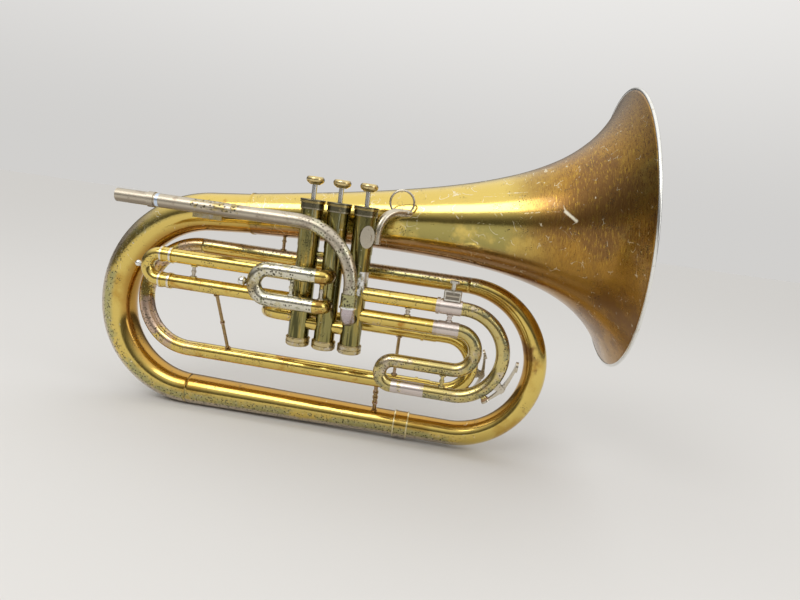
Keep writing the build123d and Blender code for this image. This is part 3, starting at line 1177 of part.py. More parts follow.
with BuildPart() as valve_bell_brace:
    add(post((VALVE_1_X, VALVE_Y + SLEEVE_RADIUS - 0.8, VALVE_BRACE_Z), (VALVE_1_X, -20, VALVE_BRACE_Z)))
    add(SLEEVE_SOLIDS[0], mode=Mode.SUBTRACT)
    add(bell_solid, mode=Mode.SUBTRACT)
save(valve_bell_brace, "valve_bell_brace")

BELL_BRACE_X = tail_joint.X + BELL_BRACE_SETBACK
with BuildPart() as bell_return_brace:
    add(post((BELL_BRACE_X, 0, RETURN_Z + RETURN_RADIUS - 0.8), (BELL_BRACE_X, 0, 202)))
    add(return_solid, mode=Mode.SUBTRACT)
    add(bell_solid, mode=Mode.SUBTRACT)
save(bell_return_brace, "bell_return_brace")
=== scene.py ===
"""Looks of a marching baritone horn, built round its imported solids.

The bell, its rim wire, the large bows and the tubes between them are drawn again as thin,
slightly uneven sheet, the valve springs are wound from wire, and every solid that stays
gets its worn metal or cork. All lengths are metres, in the frame of the solids: +X out of
the bell, +Z up, the player's left at +Y.
"""
import math

import bmesh
import bpy
from bpy.props import FloatProperty, FloatVectorProperty, IntProperty, PointerProperty
from bpy.types import Operator, Panel, PropertyGroup
from mathutils import Matrix, Quaternion, Vector, noise


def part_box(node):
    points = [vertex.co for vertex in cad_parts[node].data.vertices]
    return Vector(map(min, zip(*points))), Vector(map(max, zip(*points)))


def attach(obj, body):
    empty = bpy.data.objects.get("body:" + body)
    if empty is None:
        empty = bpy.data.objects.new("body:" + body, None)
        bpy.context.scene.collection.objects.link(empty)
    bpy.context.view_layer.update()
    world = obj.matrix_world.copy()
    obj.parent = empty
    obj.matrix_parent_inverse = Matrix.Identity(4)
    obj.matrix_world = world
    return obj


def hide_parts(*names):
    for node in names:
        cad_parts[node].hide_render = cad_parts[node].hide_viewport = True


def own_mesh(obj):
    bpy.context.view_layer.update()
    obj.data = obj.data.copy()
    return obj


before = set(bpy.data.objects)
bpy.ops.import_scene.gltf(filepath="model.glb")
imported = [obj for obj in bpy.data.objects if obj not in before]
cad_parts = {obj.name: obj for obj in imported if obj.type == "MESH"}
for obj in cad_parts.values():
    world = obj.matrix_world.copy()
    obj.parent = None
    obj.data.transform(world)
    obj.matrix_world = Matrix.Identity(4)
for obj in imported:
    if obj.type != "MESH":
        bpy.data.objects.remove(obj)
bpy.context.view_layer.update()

bl_info = {
    "name": "Marching baritone horn",
    "version": (1, 0, 0),
    "blender": (4, 5, 0),
    "location": "View3D > Sidebar > Horn",
    "description": "Builds the brass, nickel, steel and cork looks of a marching baritone horn",
    "category": "Object",
}


# ------------------------------------------------------------------ sizes from the solids
def low(node):
    """Lowest corner of a solid."""
    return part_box(node)[0]


def high(node):
    """Highest corner of a solid."""
    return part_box(node)[1]


def middle(node):
    """Centre of a solid's box."""
    return (low(node) + high(node)) / 2


def length(name, what, default):
    """Property that holds a length."""
    return FloatProperty(name=name, description=what, default=default, min=0.0, unit="LENGTH")


def angle(name, what, degrees):
    """Property that holds an angle."""
    return FloatProperty(name=name, description=what, default=math.radians(degrees), unit="ROTATION")


def number(name, what, default, least=0.0):
    """Property that holds a plain number."""
    return FloatProperty(name=name, description=what, default=default, min=least)


def count(name, what, default, least):
    """Property that holds a whole number."""
    return IntProperty(name=name, description=what, default=default, min=least)


def colour(name, what, default):
    """Property that holds a metal's or a backdrop's colour."""
    return FloatVectorProperty(
        name=name, description=what, default=default, size=3, min=0.0, max=1.0, subtype="COLOR"
    )


class HORN_PG_bell(PropertyGroup):
    """Sizes of the bell."""

    run: length("Length", "From the rim to the tail joint, along the bell's axis", 0.367)
    tail: length("Tail radius", "Outer radius where the bell meets the bow", 0.0205)
    rim_wire: length("Rim wire", "Radius of the wire rolled into the rim", 0.0015)
    wall: length("Wall", "Thickness of the sheet", 0.0007)
    tilt: angle("Tilt", "How far the bell rises towards its mouth", 5.3)
    flare: number("Flare", "Exponent of the flare's curve", 0.77, 0.1)
    flare_shift: length("Flare shift", "The smaller, the sharper the flare at the rim", 0.042)
    hammer: length("Unevenness", "How far the sheet wanders from its true curve", 0.00012)
    sides: count("Sides", "Faces round the bell", 224, 24)
    wire_sides: count("Wire sides", "Faces round the rim wire", 28, 8)


class HORN_PG_tubes(PropertyGroup):
    """Sizes of the large bows and the tubes between them."""

    bow_upper: length("Upper bow radius", "Radius of the bend behind the bell's tail", 0.107)
    bow_upper_turn: angle("Upper bow turn", "How far that bend turns", 88.0)
    tail_run: length("Tail run", "Straight part between the bell's tail and the bow", 0.045)
    wall: length("Wall", "Thickness of the sheet", 0.0007)
    inner: length("Inner radius", "Outer radius where the upper tube joins the inner bow", 0.008)
    late_taper: number("Late taper", "Power of the right bow's taper", 3.0, 1.0)
    ripple: length("Ripple", "How uneven the bent tubes are", 0.00005)


class HORN_PG_springs(PropertyGroup):
    """Sizes of the valve springs."""

    wire: length("Wire", "Radius of the spring's wire", 0.00045)
    turns: number("Turns", "Turns of each coil", 9.0, 1.0)
    stroke: length("Stroke", "How far a valve goes down", 0.0125)
    sides: count("Sides", "Faces round the wire", 10, 4)


class HORN_PG_finish(PropertyGroup):
    """Colours of the metals, of their wear and of painted shade."""

    brass: colour("Brass", "Lacquered yellow brass", (0.72, 0.54, 0.14))
    amber: colour("Amber", "Brass under aged, orange lacquer", (0.50, 0.25, 0.035))
    # Shade is painted shade: the brown of brass in shadow, laid in patches on the bell's flare and the right
    # bow.
    shade: colour("Shade", "Brass under lacquer gone brown", (0.26, 0.13, 0.035))
    olive: colour("Olive", "Bare, darkened brass", (0.27, 0.24, 0.085))
    beige: colour("Beige", "Lacquer worn down to matt metal", (0.62, 0.52, 0.38))
    nickel: colour("Nickel", "Dulled nickel silver", (0.55, 0.49, 0.39))
    silver: colour("Silver", "Bright nickel plate", (0.83, 0.83, 0.80))
    tarnish: colour("Tarnish", "Green-black spots where the lacquer is gone", (0.065, 0.055, 0.03))
    pale: colour("Pale wear", "Pale, matt scratches", (0.86, 0.78, 0.58))


class HORN_PG_stage(PropertyGroup):
    """Camera, floor and lamps."""

    lens: number("Lens", "Focal length in millimetres", 27.0, 1.0)
    sensor: number("Sensor", "Width of the sensor in millimetres", 36.0, 1.0)
    roll: angle("Roll", "How far the camera leans to its left", 7.92)
    floor: colour("Floor", "Colour of the floor", (0.70, 0.69, 0.675))
    sky: number("Studio light", "Brightness of the surroundings overhead", 1.15)
    key: number("Key lamp", "Power of the large lamp, in watts", 7.0)
    fill: number("Fill lamp", "Power of the side lamp, in watts", 3.0)


def bell_sizes():
    """The bell's sizes in the open scene."""
    return bpy.context.scene.horn_bell


def tube_sizes():
    """The tubes' sizes in the open scene."""
    return bpy.context.scene.horn_tubes


def colours():
    """The finishes' colours in the open scene."""
    return bpy.context.scene.horn_finish


# ------------------------------------------------------------------ node helpers
def plug(tree, value, slot):
    """Links a socket into an input, or sets a plain number, vector or colour on it."""
    if hasattr(value, "is_output"):
        tree.links.new(value, slot)
    else:
        slot.default_value = (*value, 1.0) if slot.type == "RGBA" else value


def made(tree, kind, inputs, **settings):
    """Node of a kind with its own settings, and its inputs linked or set."""
    node = tree.nodes.new(kind)
    for name, value in settings.items():
        setattr(node, name, value)
    for label, value in inputs.items():
        plug(tree, value, node.inputs[label])
    return node


def socket_in(tree, kind, label, default=None, subtype=None):
    """Named input of a node group."""
    socket = tree.interface.new_socket(label, in_out="INPUT", socket_type=kind)
    if subtype:
        socket.subtype = subtype
    if default is not None:
        socket.default_value = default


def math_node(tree, operation, first, second=0.0):
    """Result of a math node between two sockets or numbers."""
    return made(tree, "ShaderNodeMath", {0: first, 1: second}, operation=operation).outputs[0]


def vector_math(tree, operation, first, second=None, result=0):
    """Result of a vector math node on one or two vectors."""
    inputs = {0: first} if second is None else {0: first, 1: second}
    return made(tree, "ShaderNodeVectorMath", inputs, operation=operation).outputs[result]


def axis_of(tree, vector, axis):
    """One component of a vector."""
    return made(tree, "ShaderNodeSeparateXYZ", {0: vector}).outputs[axis]


def ramp(tree, value, start, end):
    """Value mapped smoothly from start..end to 0..1."""
    inputs = {"Value": value, "From Min": start, "From Max": end}
    return made(tree, "ShaderNodeMapRange", inputs, interpolation_type="SMOOTHSTEP").outputs["Result"]


def mixed(tree, factor, first, second):
    """Colour mixed between two colours or sockets."""
    return made(tree, "ShaderNodeMix", {0: factor, 6: first, 7: second}, data_type="RGBA").outputs[2]


def noise_value(tree, vector, waves, detail=4.0, roughness=0.6):
    """Noise with a number of waves for each metre."""
    inputs = {"Vector": vector, "Scale": waves, "Detail": detail, "Roughness": roughness}
    return made(tree, "ShaderNodeTexNoise", inputs).outputs["Fac"]


def cell_marks(tree, vector, waves, start, end, feature="F1"):
    """Spots at the middles of cells, or lines along their edges, that fade out from start to end."""
    cells = made(tree, "ShaderNodeTexVoronoi", {"Vector": vector, "Scale": waves}, feature=feature)
    return math_node(tree, "SUBTRACT", 1.0, ramp(tree, cells.outputs["Distance"], start, end))


# ------------------------------------------------------------------ shared effects
def effect_group(name, **inputs):
    """Empty shader group with a Vector input, plain inputs with their defaults, and a Mask output."""
    tree = bpy.data.node_groups.new(name, "ShaderNodeTree")
    socket_in(tree, "NodeSocketVector", "Vector")
    for label, default in inputs.items():
        kind = "NodeSocketVector" if default is None else "NodeSocketFloat"
        socket_in(tree, kind, label, default)
    tree.interface.new_socket("Mask", in_out="OUTPUT", socket_type="NodeSocketFloat")
    given, out = tree.nodes.new("NodeGroupInput"), tree.nodes.new("NodeGroupOutput")
    return tree, given.outputs, out.inputs["Mask"]


def mask_group(name):
    """Effect group whose waves are set by Scale, and its spread by Cover."""
    return effect_group(name, Scale=30.0, Cover=0.5)


def covered(tree, given, value, start, spread, soft):
    """Where a value passes a limit that sinks from start as Cover grows."""
    edge = math_node(tree, "SUBTRACT", start, math_node(tree, "MULTIPLY", given["Cover"], spread))
    return ramp(tree, value, edge, math_node(tree, "ADD", edge, soft))


def cloud_group(name):
    """Soft-edged patches, such as aged lacquer."""
    tree, given, mask = mask_group(name)
    value = noise_value(tree, given["Vector"], given["Scale"], 5.0, 0.62)
    tree.links.new(covered(tree, given, value, 0.72, 0.44, 0.13), mask)
    return tree


def pit_group(name):
    """Small round pits, gathered in patches."""
    tree, given, mask = mask_group(name)
    spots = cell_marks(tree, given["Vector"], given["Scale"], 0.18, 0.42)
    wide = math_node(tree, "MULTIPLY", given["Scale"], 0.09)
    patch = noise_value(tree, given["Vector"], wide, 4.0, 0.65)
    where = covered(tree, given, patch, 0.74, 0.46, 0.07)
    tree.links.new(math_node(tree, "MULTIPLY", spots, where), mask)
    return tree


def scratch_group(name):
    """Fine broken lines, such as scratches through lacquer."""
    tree, given, mask = mask_group(name)
    warp = math_node(tree, "MULTIPLY", noise_value(tree, given["Vector"], 55.0, 3.0), 0.012)
    moved = vector_math(tree, "ADD", given["Vector"], warp)
    lines = cell_marks(tree, moved, given["Scale"], 0.004, 0.024, "DISTANCE_TO_EDGE")
    breaks = noise_value(tree, given["Vector"], math_node(tree, "MULTIPLY", given["Scale"], 0.9))
    where = covered(tree, given, breaks, 0.72, 0.40, 0.05)
    tree.links.new(math_node(tree, "MULTIPLY", lines, where), mask)
    return tree


def ring_group(name):
    """Fine lines round the horn's length, as left by spinning and buffing."""
    tree, given, mask = mask_group(name)
    long_way = vector_math(tree, "MULTIPLY", given["Vector"], (1.0, 0.14, 0.14))
    value = noise_value(tree, long_way, given["Scale"], 3.0, 0.7)
    tree.links.new(covered(tree, given, value, 0.75, 0.5, 0.2), mask)
    return tree


def hairline_group(name):
    """Long, thin, curved lines, broken here and there."""
    tree, given, mask = mask_group(name)
    value = noise_value(tree, given["Vector"], given["Scale"], 1.5, 0.4)
    off = math_node(tree, "ABSOLUTE", math_node(tree, "SUBTRACT", value, 0.5))
    lines = math_node(tree, "SUBTRACT", 1.0, ramp(tree, off, 0.001, 0.006))
    finer = math_node(tree, "MULTIPLY", given["Scale"], 1.9)
    breaks = noise_value(tree, given["Vector"], finer, 3.0, 0.6)
    where = covered(tree, given, breaks, 0.75, 0.45, 0.05)
    tree.links.new(math_node(tree, "MULTIPLY", lines, where), mask)
    return tree


def stroke_group(name):
    """One ragged scratch between two points of the surface."""
    tree, given, mask = effect_group(name, Start=None, End=None, Width=0.001)
    from_start = vector_math(tree, "SUBTRACT", given["Vector"], given["Start"])
    run = vector_math(tree, "SUBTRACT", given["End"], given["Start"])
    along = vector_math(tree, "DOT_PRODUCT", from_start, run, "Value")
    whole = vector_math(tree, "DOT_PRODUCT", run, run, "Value")
    part = math_node(tree, "DIVIDE", along, whole)
    part.node.use_clamp = True
    nearest = made(tree, "ShaderNodeVectorMath", {0: run}, operation="SCALE")
    tree.links.new(part, nearest.inputs["Scale"])
    off = vector_math(tree, "SUBTRACT", from_start, nearest.outputs[0])
    distance = vector_math(tree, "LENGTH", off, None, "Value")
    rough = math_node(tree, "SUBTRACT", noise_value(tree, given["Vector"], 420.0, 3.0, 0.7), 0.5)
    ragged = math_node(tree, "ADD", distance, math_node(tree, "MULTIPLY", rough, 0.0015))
    core = math_node(tree, "MULTIPLY", given["Width"], 0.35)
    tree.links.new(math_node(tree, "SUBTRACT", 1.0, ramp(tree, ragged, core, given["Width"])), mask)
    return tree


EFFECTS = {
    "clouds": ("Cloudy patches", cloud_group),
    "pits": ("Lacquer pits", pit_group),
    "scratches": ("Fine scratches", scratch_group),
    "rings": ("Spun rings", ring_group),
    "hairlines": ("Hairlines", hairline_group),
    "stroke": ("Scratch stroke", stroke_group),
}


def effect(tree, kind, **inputs):
    """Mask of a shared effect placed in a material; its group is built once."""
    name, build = EFFECTS[kind]
    group = bpy.data.node_groups.get(name) or build(name)
    return made(tree, "ShaderNodeGroup", inputs, node_tree=group).outputs["Mask"]


ZONE_EDGE = 0.0006  # how softly a zone of a finish ends


class Metal:
    """Material of worn metal, built up in layers over its base colour."""

    def __init__(self, name, base, roughness, coat=0.0):
        self.material = bpy.data.materials.new(name)
        self.material.use_nodes = True
        self.tree = self.material.node_tree
        self.shader = self.tree.nodes["Principled BSDF"]
        where = self.tree.nodes.new("ShaderNodeTexCoord")
        self.vector = where.outputs["Object"]
        self.normal = where.outputs["Normal"]
        self.colour = base
        self.roughness = roughness
        self.metallic = 1.0
        self.coat = coat
        self.height = None

    def mask(self, kind, waves, cover, stretch=None):
        """Mask of a shared effect, optionally stretched along the axes."""
        vector = vector_math(self.tree, "MULTIPLY", self.vector, stretch) if stretch else self.vector
        return effect(self.tree, kind, Vector=vector, Scale=waves, Cover=cover)

    def along(self, axis, start, end):
        """0 to 1 between two places along an axis of the horn."""
        return ramp(self.tree, axis_of(self.tree, self.vector, axis), start, end)

    def facing(self, axis, start, end):
        """0 to 1 as the surface turns, by how much of its normal points along an axis."""
        return ramp(self.tree, axis_of(self.tree, self.normal, axis), start, end)

    def both(self, first, second):
        """Where both masks are."""
        return math_node(self.tree, "MULTIPLY", first, second)

    def within(self, **limits):
        """1 where every named axis is within its (start, end), fading over a short way past them."""
        inside = None
        for axis, (start, end) in limits.items():
            rise = self.along(axis, start - ZONE_EDGE, start)
            fall = self.along(axis, end, end + ZONE_EDGE)
            one = self.both(rise, math_node(self.tree, "SUBTRACT", 1.0, fall))
            inside = one if inside is None else self.both(inside, one)
        return inside

    def outward(self, loop, start, end):
        """0 to 1 as the surface of a loop turns away from the loop's level middle line."""
        left, right, height = loop
        across = axis_of(self.tree, self.vector, "X")
        nearest = made(self.tree, "ShaderNodeClamp", {"Value": across, "Min": left, "Max": right}).outputs[0]
        offset = {
            "X": math_node(self.tree, "SUBTRACT", across, nearest),
            "Z": math_node(self.tree, "SUBTRACT", axis_of(self.tree, self.vector, "Z"), height),
        }
        away = made(self.tree, "ShaderNodeCombineXYZ", offset).outputs[0]
        unit = vector_math(self.tree, "NORMALIZE", away)
        return ramp(self.tree, vector_math(self.tree, "DOT_PRODUCT", self.normal, unit, "Value"), start, end)

    def tilted(self, turn):
        """Measures from here on in axes turned round Y, such as the bell's own."""
        inputs = {"Rotation": (0, turn, 0), "Vector": self.vector}
        self.vector = made(self.tree, "ShaderNodeMapping", inputs).outputs[0]

    def blended(self, mask, first, second):
        """Number that goes from first to second where the mask is."""
        return made(self.tree, "ShaderNodeMix", {0: mask, 2: first, 3: second}).outputs[0]

    def layer(self, mask, tint, roughness=None, depth=0.0, matt=0.0):
        """Lays a colour over what is there, with its own roughness, height and loss of shine."""
        self.colour = mixed(self.tree, mask, self.colour, tint)
        if roughness is not None:
            self.roughness = self.blended(mask, self.roughness, roughness)
        if matt:
            self.metallic = self.blended(mask, self.metallic, 1.0 - matt)
        if depth:
            raised = math_node(self.tree, "MULTIPLY", mask, depth)
            self.height = raised if self.height is None else math_node(self.tree, "ADD", self.height, raised)

    def wear(self, kind, waves, cover, *look, where=None, stretch=None):
        """Layer of a shared effect, all over or only where a mask is; look goes on to layer."""
        mask = self.mask(kind, waves, cover, stretch)
        self.layer(mask if where is None else self.both(where, mask), *look)

    def pits(self, waves, cover, matt=0.3, where=None):
        """Green-black pits eaten through the lacquer."""
        self.wear("pits", waves, cover, colours().tarnish, 0.5, -1.0, matt, where=where)

    def done(self, bump=0.00004):
        """Wires the layers into the shader and hands over the material."""
        finished = {
            "Base Color": self.colour,
            "Roughness": self.roughness,
            "Metallic": self.metallic,
            "Coat Weight": self.coat,
            "Coat Roughness": 0.12,
        }
        for label, value in finished.items():
            plug(self.tree, value, self.shader.inputs[label])
        if self.height is not None:
            inputs = {"Strength": 1.0, "Distance": bump, "Height": self.height}
            relief = made(self.tree, "ShaderNodeBump", inputs)
            self.tree.links.new(relief.outputs[0], self.shader.inputs["Normal"])
        return self.material


# ------------------------------------------------------------------ finishes
HORN_LOOP = (-0.15, 0.1225, 0.10)  # ends and height of the middle line inside the large tubing
THIRD_LOOP = (0.0615, 0.1204, 0.117)  # the same inside the third slide
FERRULE_LINE = 0.0008  # width of the pale lines at the ends of the bottom joint's ferrule
LEG_RING = 0.0013  # width of the dull rings on the first slide's legs
LEAD_BEAD = 0.0014  # height of the bright bead round the foot of the leadpipe's ferrule
LYRE_FRAME = 0.0021  # plate left round the dark panel of the lyre box
STREAKED_FLARE = (0.16, 0.225)  # along the bell's axis, where its streaks begin and are full

SCRATCH_DEPTH = 0.00011  # how far the bell's long scratches go into its sheet
# Those scratches: points as (behind the rim, degrees up from the player's right side), and the
# half width of each run from one point to the next.
BELL_SCRATCHES = (
    (((0.0615, 19), (0.0595, 14), (0.0505, 6.5)), (0.0011, 0.0022)),
    (((0.098, 14), (0.0765, 15), (0.061, 14)), (0.0007, 0.0007)),
    (((0.137, 41.5), (0.117, 41), (0.0915, 37.5), (0.071, 35)), (0.0007, 0.0009, 0.0006)),
    (((0.1585, 35), (0.1515, 17.5), (0.1405, 4)), (0.0009, 0.0008)),
    (((0.160, 0), (0.151, 9), (0.144, 20)), (0.0007, 0.0006)),
    (((0.1505, -1), (0.137, -14.5)), (0.0007,)),
    (((0.1355, 3), (0.120, 1)), (0.0008,)),
    (((0.1195, -6), (0.1105, -6)), (0.0007,)),
    (((0.101, 5.5), (0.094, -1.5), (0.087, -10.5), (0.0865, -6)), (0.0009, 0.0009, 0.0008)),
    (((0.0765, -20), (0.074, -8), (0.072, -3.5)), (0.0008, 0.0007)),
    (((0.0465, 24.5), (0.051, 20)), (0.0008,)),
    (((0.0244, 46.5), (0.0205, 46.5), (0.0159, 42.5)), (0.0010, 0.0008)),
    (((0.0156, 7), (0.0087, 4), (0.0082, -0.5)), (0.0008, 0.0010)),
    (((0.0080, -8), (0.0065, -17.5)), (0.0011,)),
)


def bell_marks(metal):
    """Mask of all the long scratches on the bell."""
    marks = None
    for points, widths in BELL_SCRATCHES:
        ends = [in_bell(behind, math.radians(turn), SCRATCH_DEPTH) for behind, turn in points]
        for start, end, width in zip(ends, ends[1:], widths):
            one = effect(metal.tree, "stroke", Vector=metal.vector, Start=start, End=end, Width=width)
            marks = one if marks is None else math_node(metal.tree, "MAXIMUM", marks, one)
    return marks


def bell_brass():
    """Bell sheet: gold in the throat, olive and brown painted shade below, finely streaked to the rim,
    scratched.
    """
    tint = colours()
    metal = Metal("bell brass", tint.brass, 0.15, 0.3)
    marks = bell_marks(metal)
    hairs = metal.both(metal.along("X", 0.215, 0.16), metal.mask("hairlines", 50.0, 0.50))
    nicks = metal.mask("scratches", 120.0, 0.34)
    # Painted shade: olive where the sheet faces downward, brown where it faces further down, for the darker
    # reflections under the bell.
    below = metal.facing("Z", 0.22, -0.12)
    under = metal.facing("Z", -0.40, -0.66)
    metal.tilted(bell_sizes().tilt)
    flare = metal.along("X", *STREAKED_FLARE)
    # Painted shade laid on: olive clouds on the downward faces, brown on the underside.
    metal.wear("clouds", 22.0, 0.80, (0.40, 0.34, 0.10), where=below)
    metal.layer(under, (0.40, 0.22, 0.08))
    metal.wear("clouds", 9.0, 1.0, (0.42, 0.22, 0.035), 0.24, where=flare)
    # Painted shade: patches of the shade colour on the flare.
    metal.wear("clouds", 14.0, 0.62, tint.shade, 0.30, where=flare)
    streaked = metal.both(flare, metal.along("Z", 0.16, 0.22))
    metal.wear("rings", 1500.0, 0.54, (0.19, 0.085, 0.018), 0.30, -0.3, where=streaked)
    metal.wear("rings", 1200.0, 0.46, (0.60, 0.37, 0.05), 0.20, 0.2, where=streaked)
    metal.wear("pits", 700.0, 0.42, tint.tarnish, 0.5, -0.8)
    metal.layer(hairs, tint.pale, 0.4)
    metal.layer(nicks, tint.pale, 0.42)
    metal.layer(marks, (0.90, 0.84, 0.66), 0.5, -0.8, 0.35)
    return metal.done()


def bow_brass():
    """Large bows: gold, pitted and speckled round the outside of the loop, pale beige along its outer edge.
    """
    tint = colours()
    metal = Metal("bow brass", tint.brass, 0.14, 0.3)
    metal.wear("clouds", 17.0, 0.44, (0.56, 0.36, 0.07), 0.18)
    metal.wear("clouds", 42.0, 0.22, tint.amber, 0.22)
    metal.layer(metal.outward(HORN_LOOP, -0.35, -0.8), (0.50, 0.28, 0.05), 0.16)
    worn = metal.both(metal.along("Z", 0.215, 0.175), metal.along("X", 0.155, 0.115))
    flank = metal.both(worn, metal.outward(HORN_LOOP, -0.2, 0.15))
    edge = metal.both(worn, metal.outward(HORN_LOOP, 0.38, 0.62))
    metal.wear("clouds", 34.0, 0.70, (0.46, 0.42, 0.17), 0.22, where=flank)
    metal.wear("clouds", 20.0, 0.94, tint.beige, 0.34, where=edge)
    metal.pits(400.0, 0.84, 0.4, flank)
    metal.wear("scratches", 230.0, 0.5, tint.pale, 0.3, -0.4, where=flank)
    # Painted shade: patches of the shade colour on the right bow.
    metal.wear("clouds", 30.0, 0.34, tint.shade, 0.26, where=metal.along("X", 0.10, 0.16))
    left, right = low("bottom_ferrule"), high("bottom_ferrule")
    for start in (left.x, right.x - FERRULE_LINE):
        line = metal.within(X=(start, start + FERRULE_LINE), Z=(left.z, right.z))
        metal.layer(line, (0.80, 0.70, 0.42), 0.3)
    metal.pits(620.0, 0.36)
    metal.wear("hairlines", 50.0, 0.36, tint.pale, 0.36, -0.4, 0.1)
    return metal.done()


def tube_layers(metal):
    """Brown haze, rubbed patches and speckles of the small lacquered tubes."""
    tint = colours()
    metal.wear("clouds", 34.0, 0.40, tint.amber, 0.2)
    metal.wear("clouds", 90.0, 0.22, tint.beige, 0.3)
    metal.pits(640.0, 0.50, 0.35)
    metal.wear("hairlines", 110.0, 0.30, tint.pale, 0.36, -0.4, 0.1)


def tube_brass():
    """Small tubes: gold lacquer, pinkish and pitted round the inner bow, a plated knob on the first slide."""
    tint = colours()
    metal = Metal("tube brass", tint.brass, 0.15, 0.3)
    tube_layers(metal)
    bend = metal.both(metal.along("X", -0.14, -0.19), metal.along("Y", -0.045, -0.035))
    metal.wear("clouds", 40.0, 0.66, (0.58, 0.42, 0.31), 0.3, where=bend)
    metal.pits(420.0, 0.72, 0.4, bend)
    tip, side = low("slide_1_crook"), high("slide_1_crook").y
    metal.layer(metal.within(X=(tip.x, tip.x + 0.0072), Y=(tip.y, side)), tint.silver, 0.2)
    return metal.done()


def leg_brass():
    """Outer slide legs: gold tubes with nickel posts and dull rings, browned elbows on the second slide."""
    tint = colours()
    metal = Metal("leg brass", tint.brass, 0.15, 0.3)
    tube_layers(metal)
    metal.wear("clouds", 95.0, 0.75, (0.40, 0.24, 0.05), 0.2, where=metal.along("Y", -0.068, -0.072))
    posts_between = (("slide_1_legs", "slide_2_legs", 0.0045), ("slide_3_legs", "slide_3_legs", 0.0029))
    for first, last, reach in posts_between:
        level = middle(first).z
        posts = metal.within(X=(low(first).x, high(last).x), Z=(level - reach, level + reach))
        metal.layer(posts, tint.nickel, 0.26)
    end = low("slide_1_legs").x
    for start in (end, end + 0.0097):
        metal.layer(metal.within(X=(start, start + LEG_RING)), (0.74, 0.70, 0.62), 0.26)
    end = high("slide_3_legs").x
    metal.layer(metal.within(X=(end - 0.0032, end + 0.0005), Z=(0.12, 0.20)), (0.60, 0.52, 0.46), 0.3)
    return metal.done()


def worn_brass():
    """Third slide's bends: greenish gold, pitted along the outside, with pale ferrules and a rubbed patch."""
    tint = colours()
    metal = Metal("worn slide brass", (0.60, 0.49, 0.19), 0.18, 0.1)
    metal.wear("clouds", 44.0, 0.44, tint.beige, 0.30)
    metal.wear("clouds", 75.0, 0.34, (0.42, 0.29, 0.09), 0.28)
    outside = metal.outward(THIRD_LOOP, -0.2, 0.3)
    metal.wear("clouds", 80.0, 0.6, (0.34, 0.32, 0.17), 0.28, where=outside)
    metal.pits(420.0, 0.86, 0.4, outside)
    metal.pits(520.0, 0.5, 0.4)
    metal.layer(metal.outward(THIRD_LOOP, 0.8, 0.95), tint.nickel, 0.3)
    rubbed = metal.within(X=(0.062, 0.093), Z=(0.062, 0.084))
    metal.wear("clouds", 60.0, 0.9, (0.66, 0.58, 0.54), 0.3, where=rubbed)
    end = high("slide_3_legs").x
    metal.layer(metal.within(X=(end - 0.0005, end + 0.0205), Z=(0.128, 0.17)), (0.66, 0.58, 0.53), 0.28)
    metal.wear("hairlines", 130.0, 0.36, (0.84, 0.78, 0.66), 0.34, -0.4)
    return metal.done()


def worn_silver():
    """Second slide's crook: mottled silver with gold and green-black spots, browned round the bend."""
    tint = colours()
    metal = Metal("worn silver", (0.70, 0.67, 0.55), 0.2)
    metal.wear("clouds", 60.0, 0.52, (0.58, 0.52, 0.30), 0.26)
    metal.wear("clouds", 120.0, 0.34, (0.28, 0.29, 0.20), 0.3)
    metal.wear("clouds", 90.0, 0.66, (0.36, 0.27, 0.11), 0.26, where=metal.along("X", -0.066, -0.080))
    metal.pits(380.0, 0.66, 0.4)
    tip = low("slide_2_crook").x
    metal.layer(metal.within(X=(tip - 0.0005, tip + 0.0054)), tint.silver, 0.2)
    return metal.done()


def lead_nickel():
    """Leadpipe: matt beige nickel, spotted beside the bow and round the bend, with a speckled ferrule."""
    tint = colours()
    metal = Metal("leadpipe nickel", tint.nickel, 0.38)
    metal.wear("clouds", 80.0, 0.40, (0.42, 0.35, 0.27), 0.38)
    # Painted shade: darker grey-brown where the pipe faces downward.
    metal.layer(metal.facing("Z", -0.15, -0.6), (0.30, 0.25, 0.19), 0.36)
    bend = metal.along("X", -0.06, -0.01)
    metal.wear("clouds", 70.0, 0.55, (0.62, 0.60, 0.44), 0.24, where=bend)
    foot, head = low("leadpipe_ferrule"), high("leadpipe_ferrule")
    bead = foot.z + LEAD_BEAD
    ferrule = metal.within(X=(foot.x, head.x), Z=(bead, head.z))
    metal.layer(ferrule, (0.42, 0.40, 0.20), 0.24)
    metal.pits(400.0, 0.76, 0.4, bend)
    metal.pits(300.0, 0.90, 0.4, ferrule)
    elbow = metal.within(X=(foot.x, head.x), Z=(low("leadpipe_elbow").z, foot.z))
    metal.layer(elbow, (0.52, 0.45, 0.46), 0.24)
    metal.layer(metal.within(X=(foot.x, head.x), Z=(foot.z, bead)), tint.silver, 0.22)
    spotted = metal.within(X=(-0.140, -0.095), Z=(0.2185, 0.24))
    metal.wear("clouds", 150.0, 0.62, (0.46, 0.36, 0.16), 0.3, where=spotted)
    metal.pits(330.0, 0.90, 0.4, spotted)
    # Thin pale band past the receiver: the ring's own pale metal, tinted light blue as a painted reflection.
    end = high("mouthpiece_receiver").x
    metal.layer(metal.within(X=(end + 0.0021, end + 0.0045)), (0.60, 0.70, 0.84), 0.3)
    metal.wear("pits", 820.0, 0.42, (0.16, 0.12, 0.08), 0.5, -0.8, 0.3)
    metal.wear("hairlines", 150.0, 0.3, tint.silver, 0.3, -0.4)
    return metal.done()


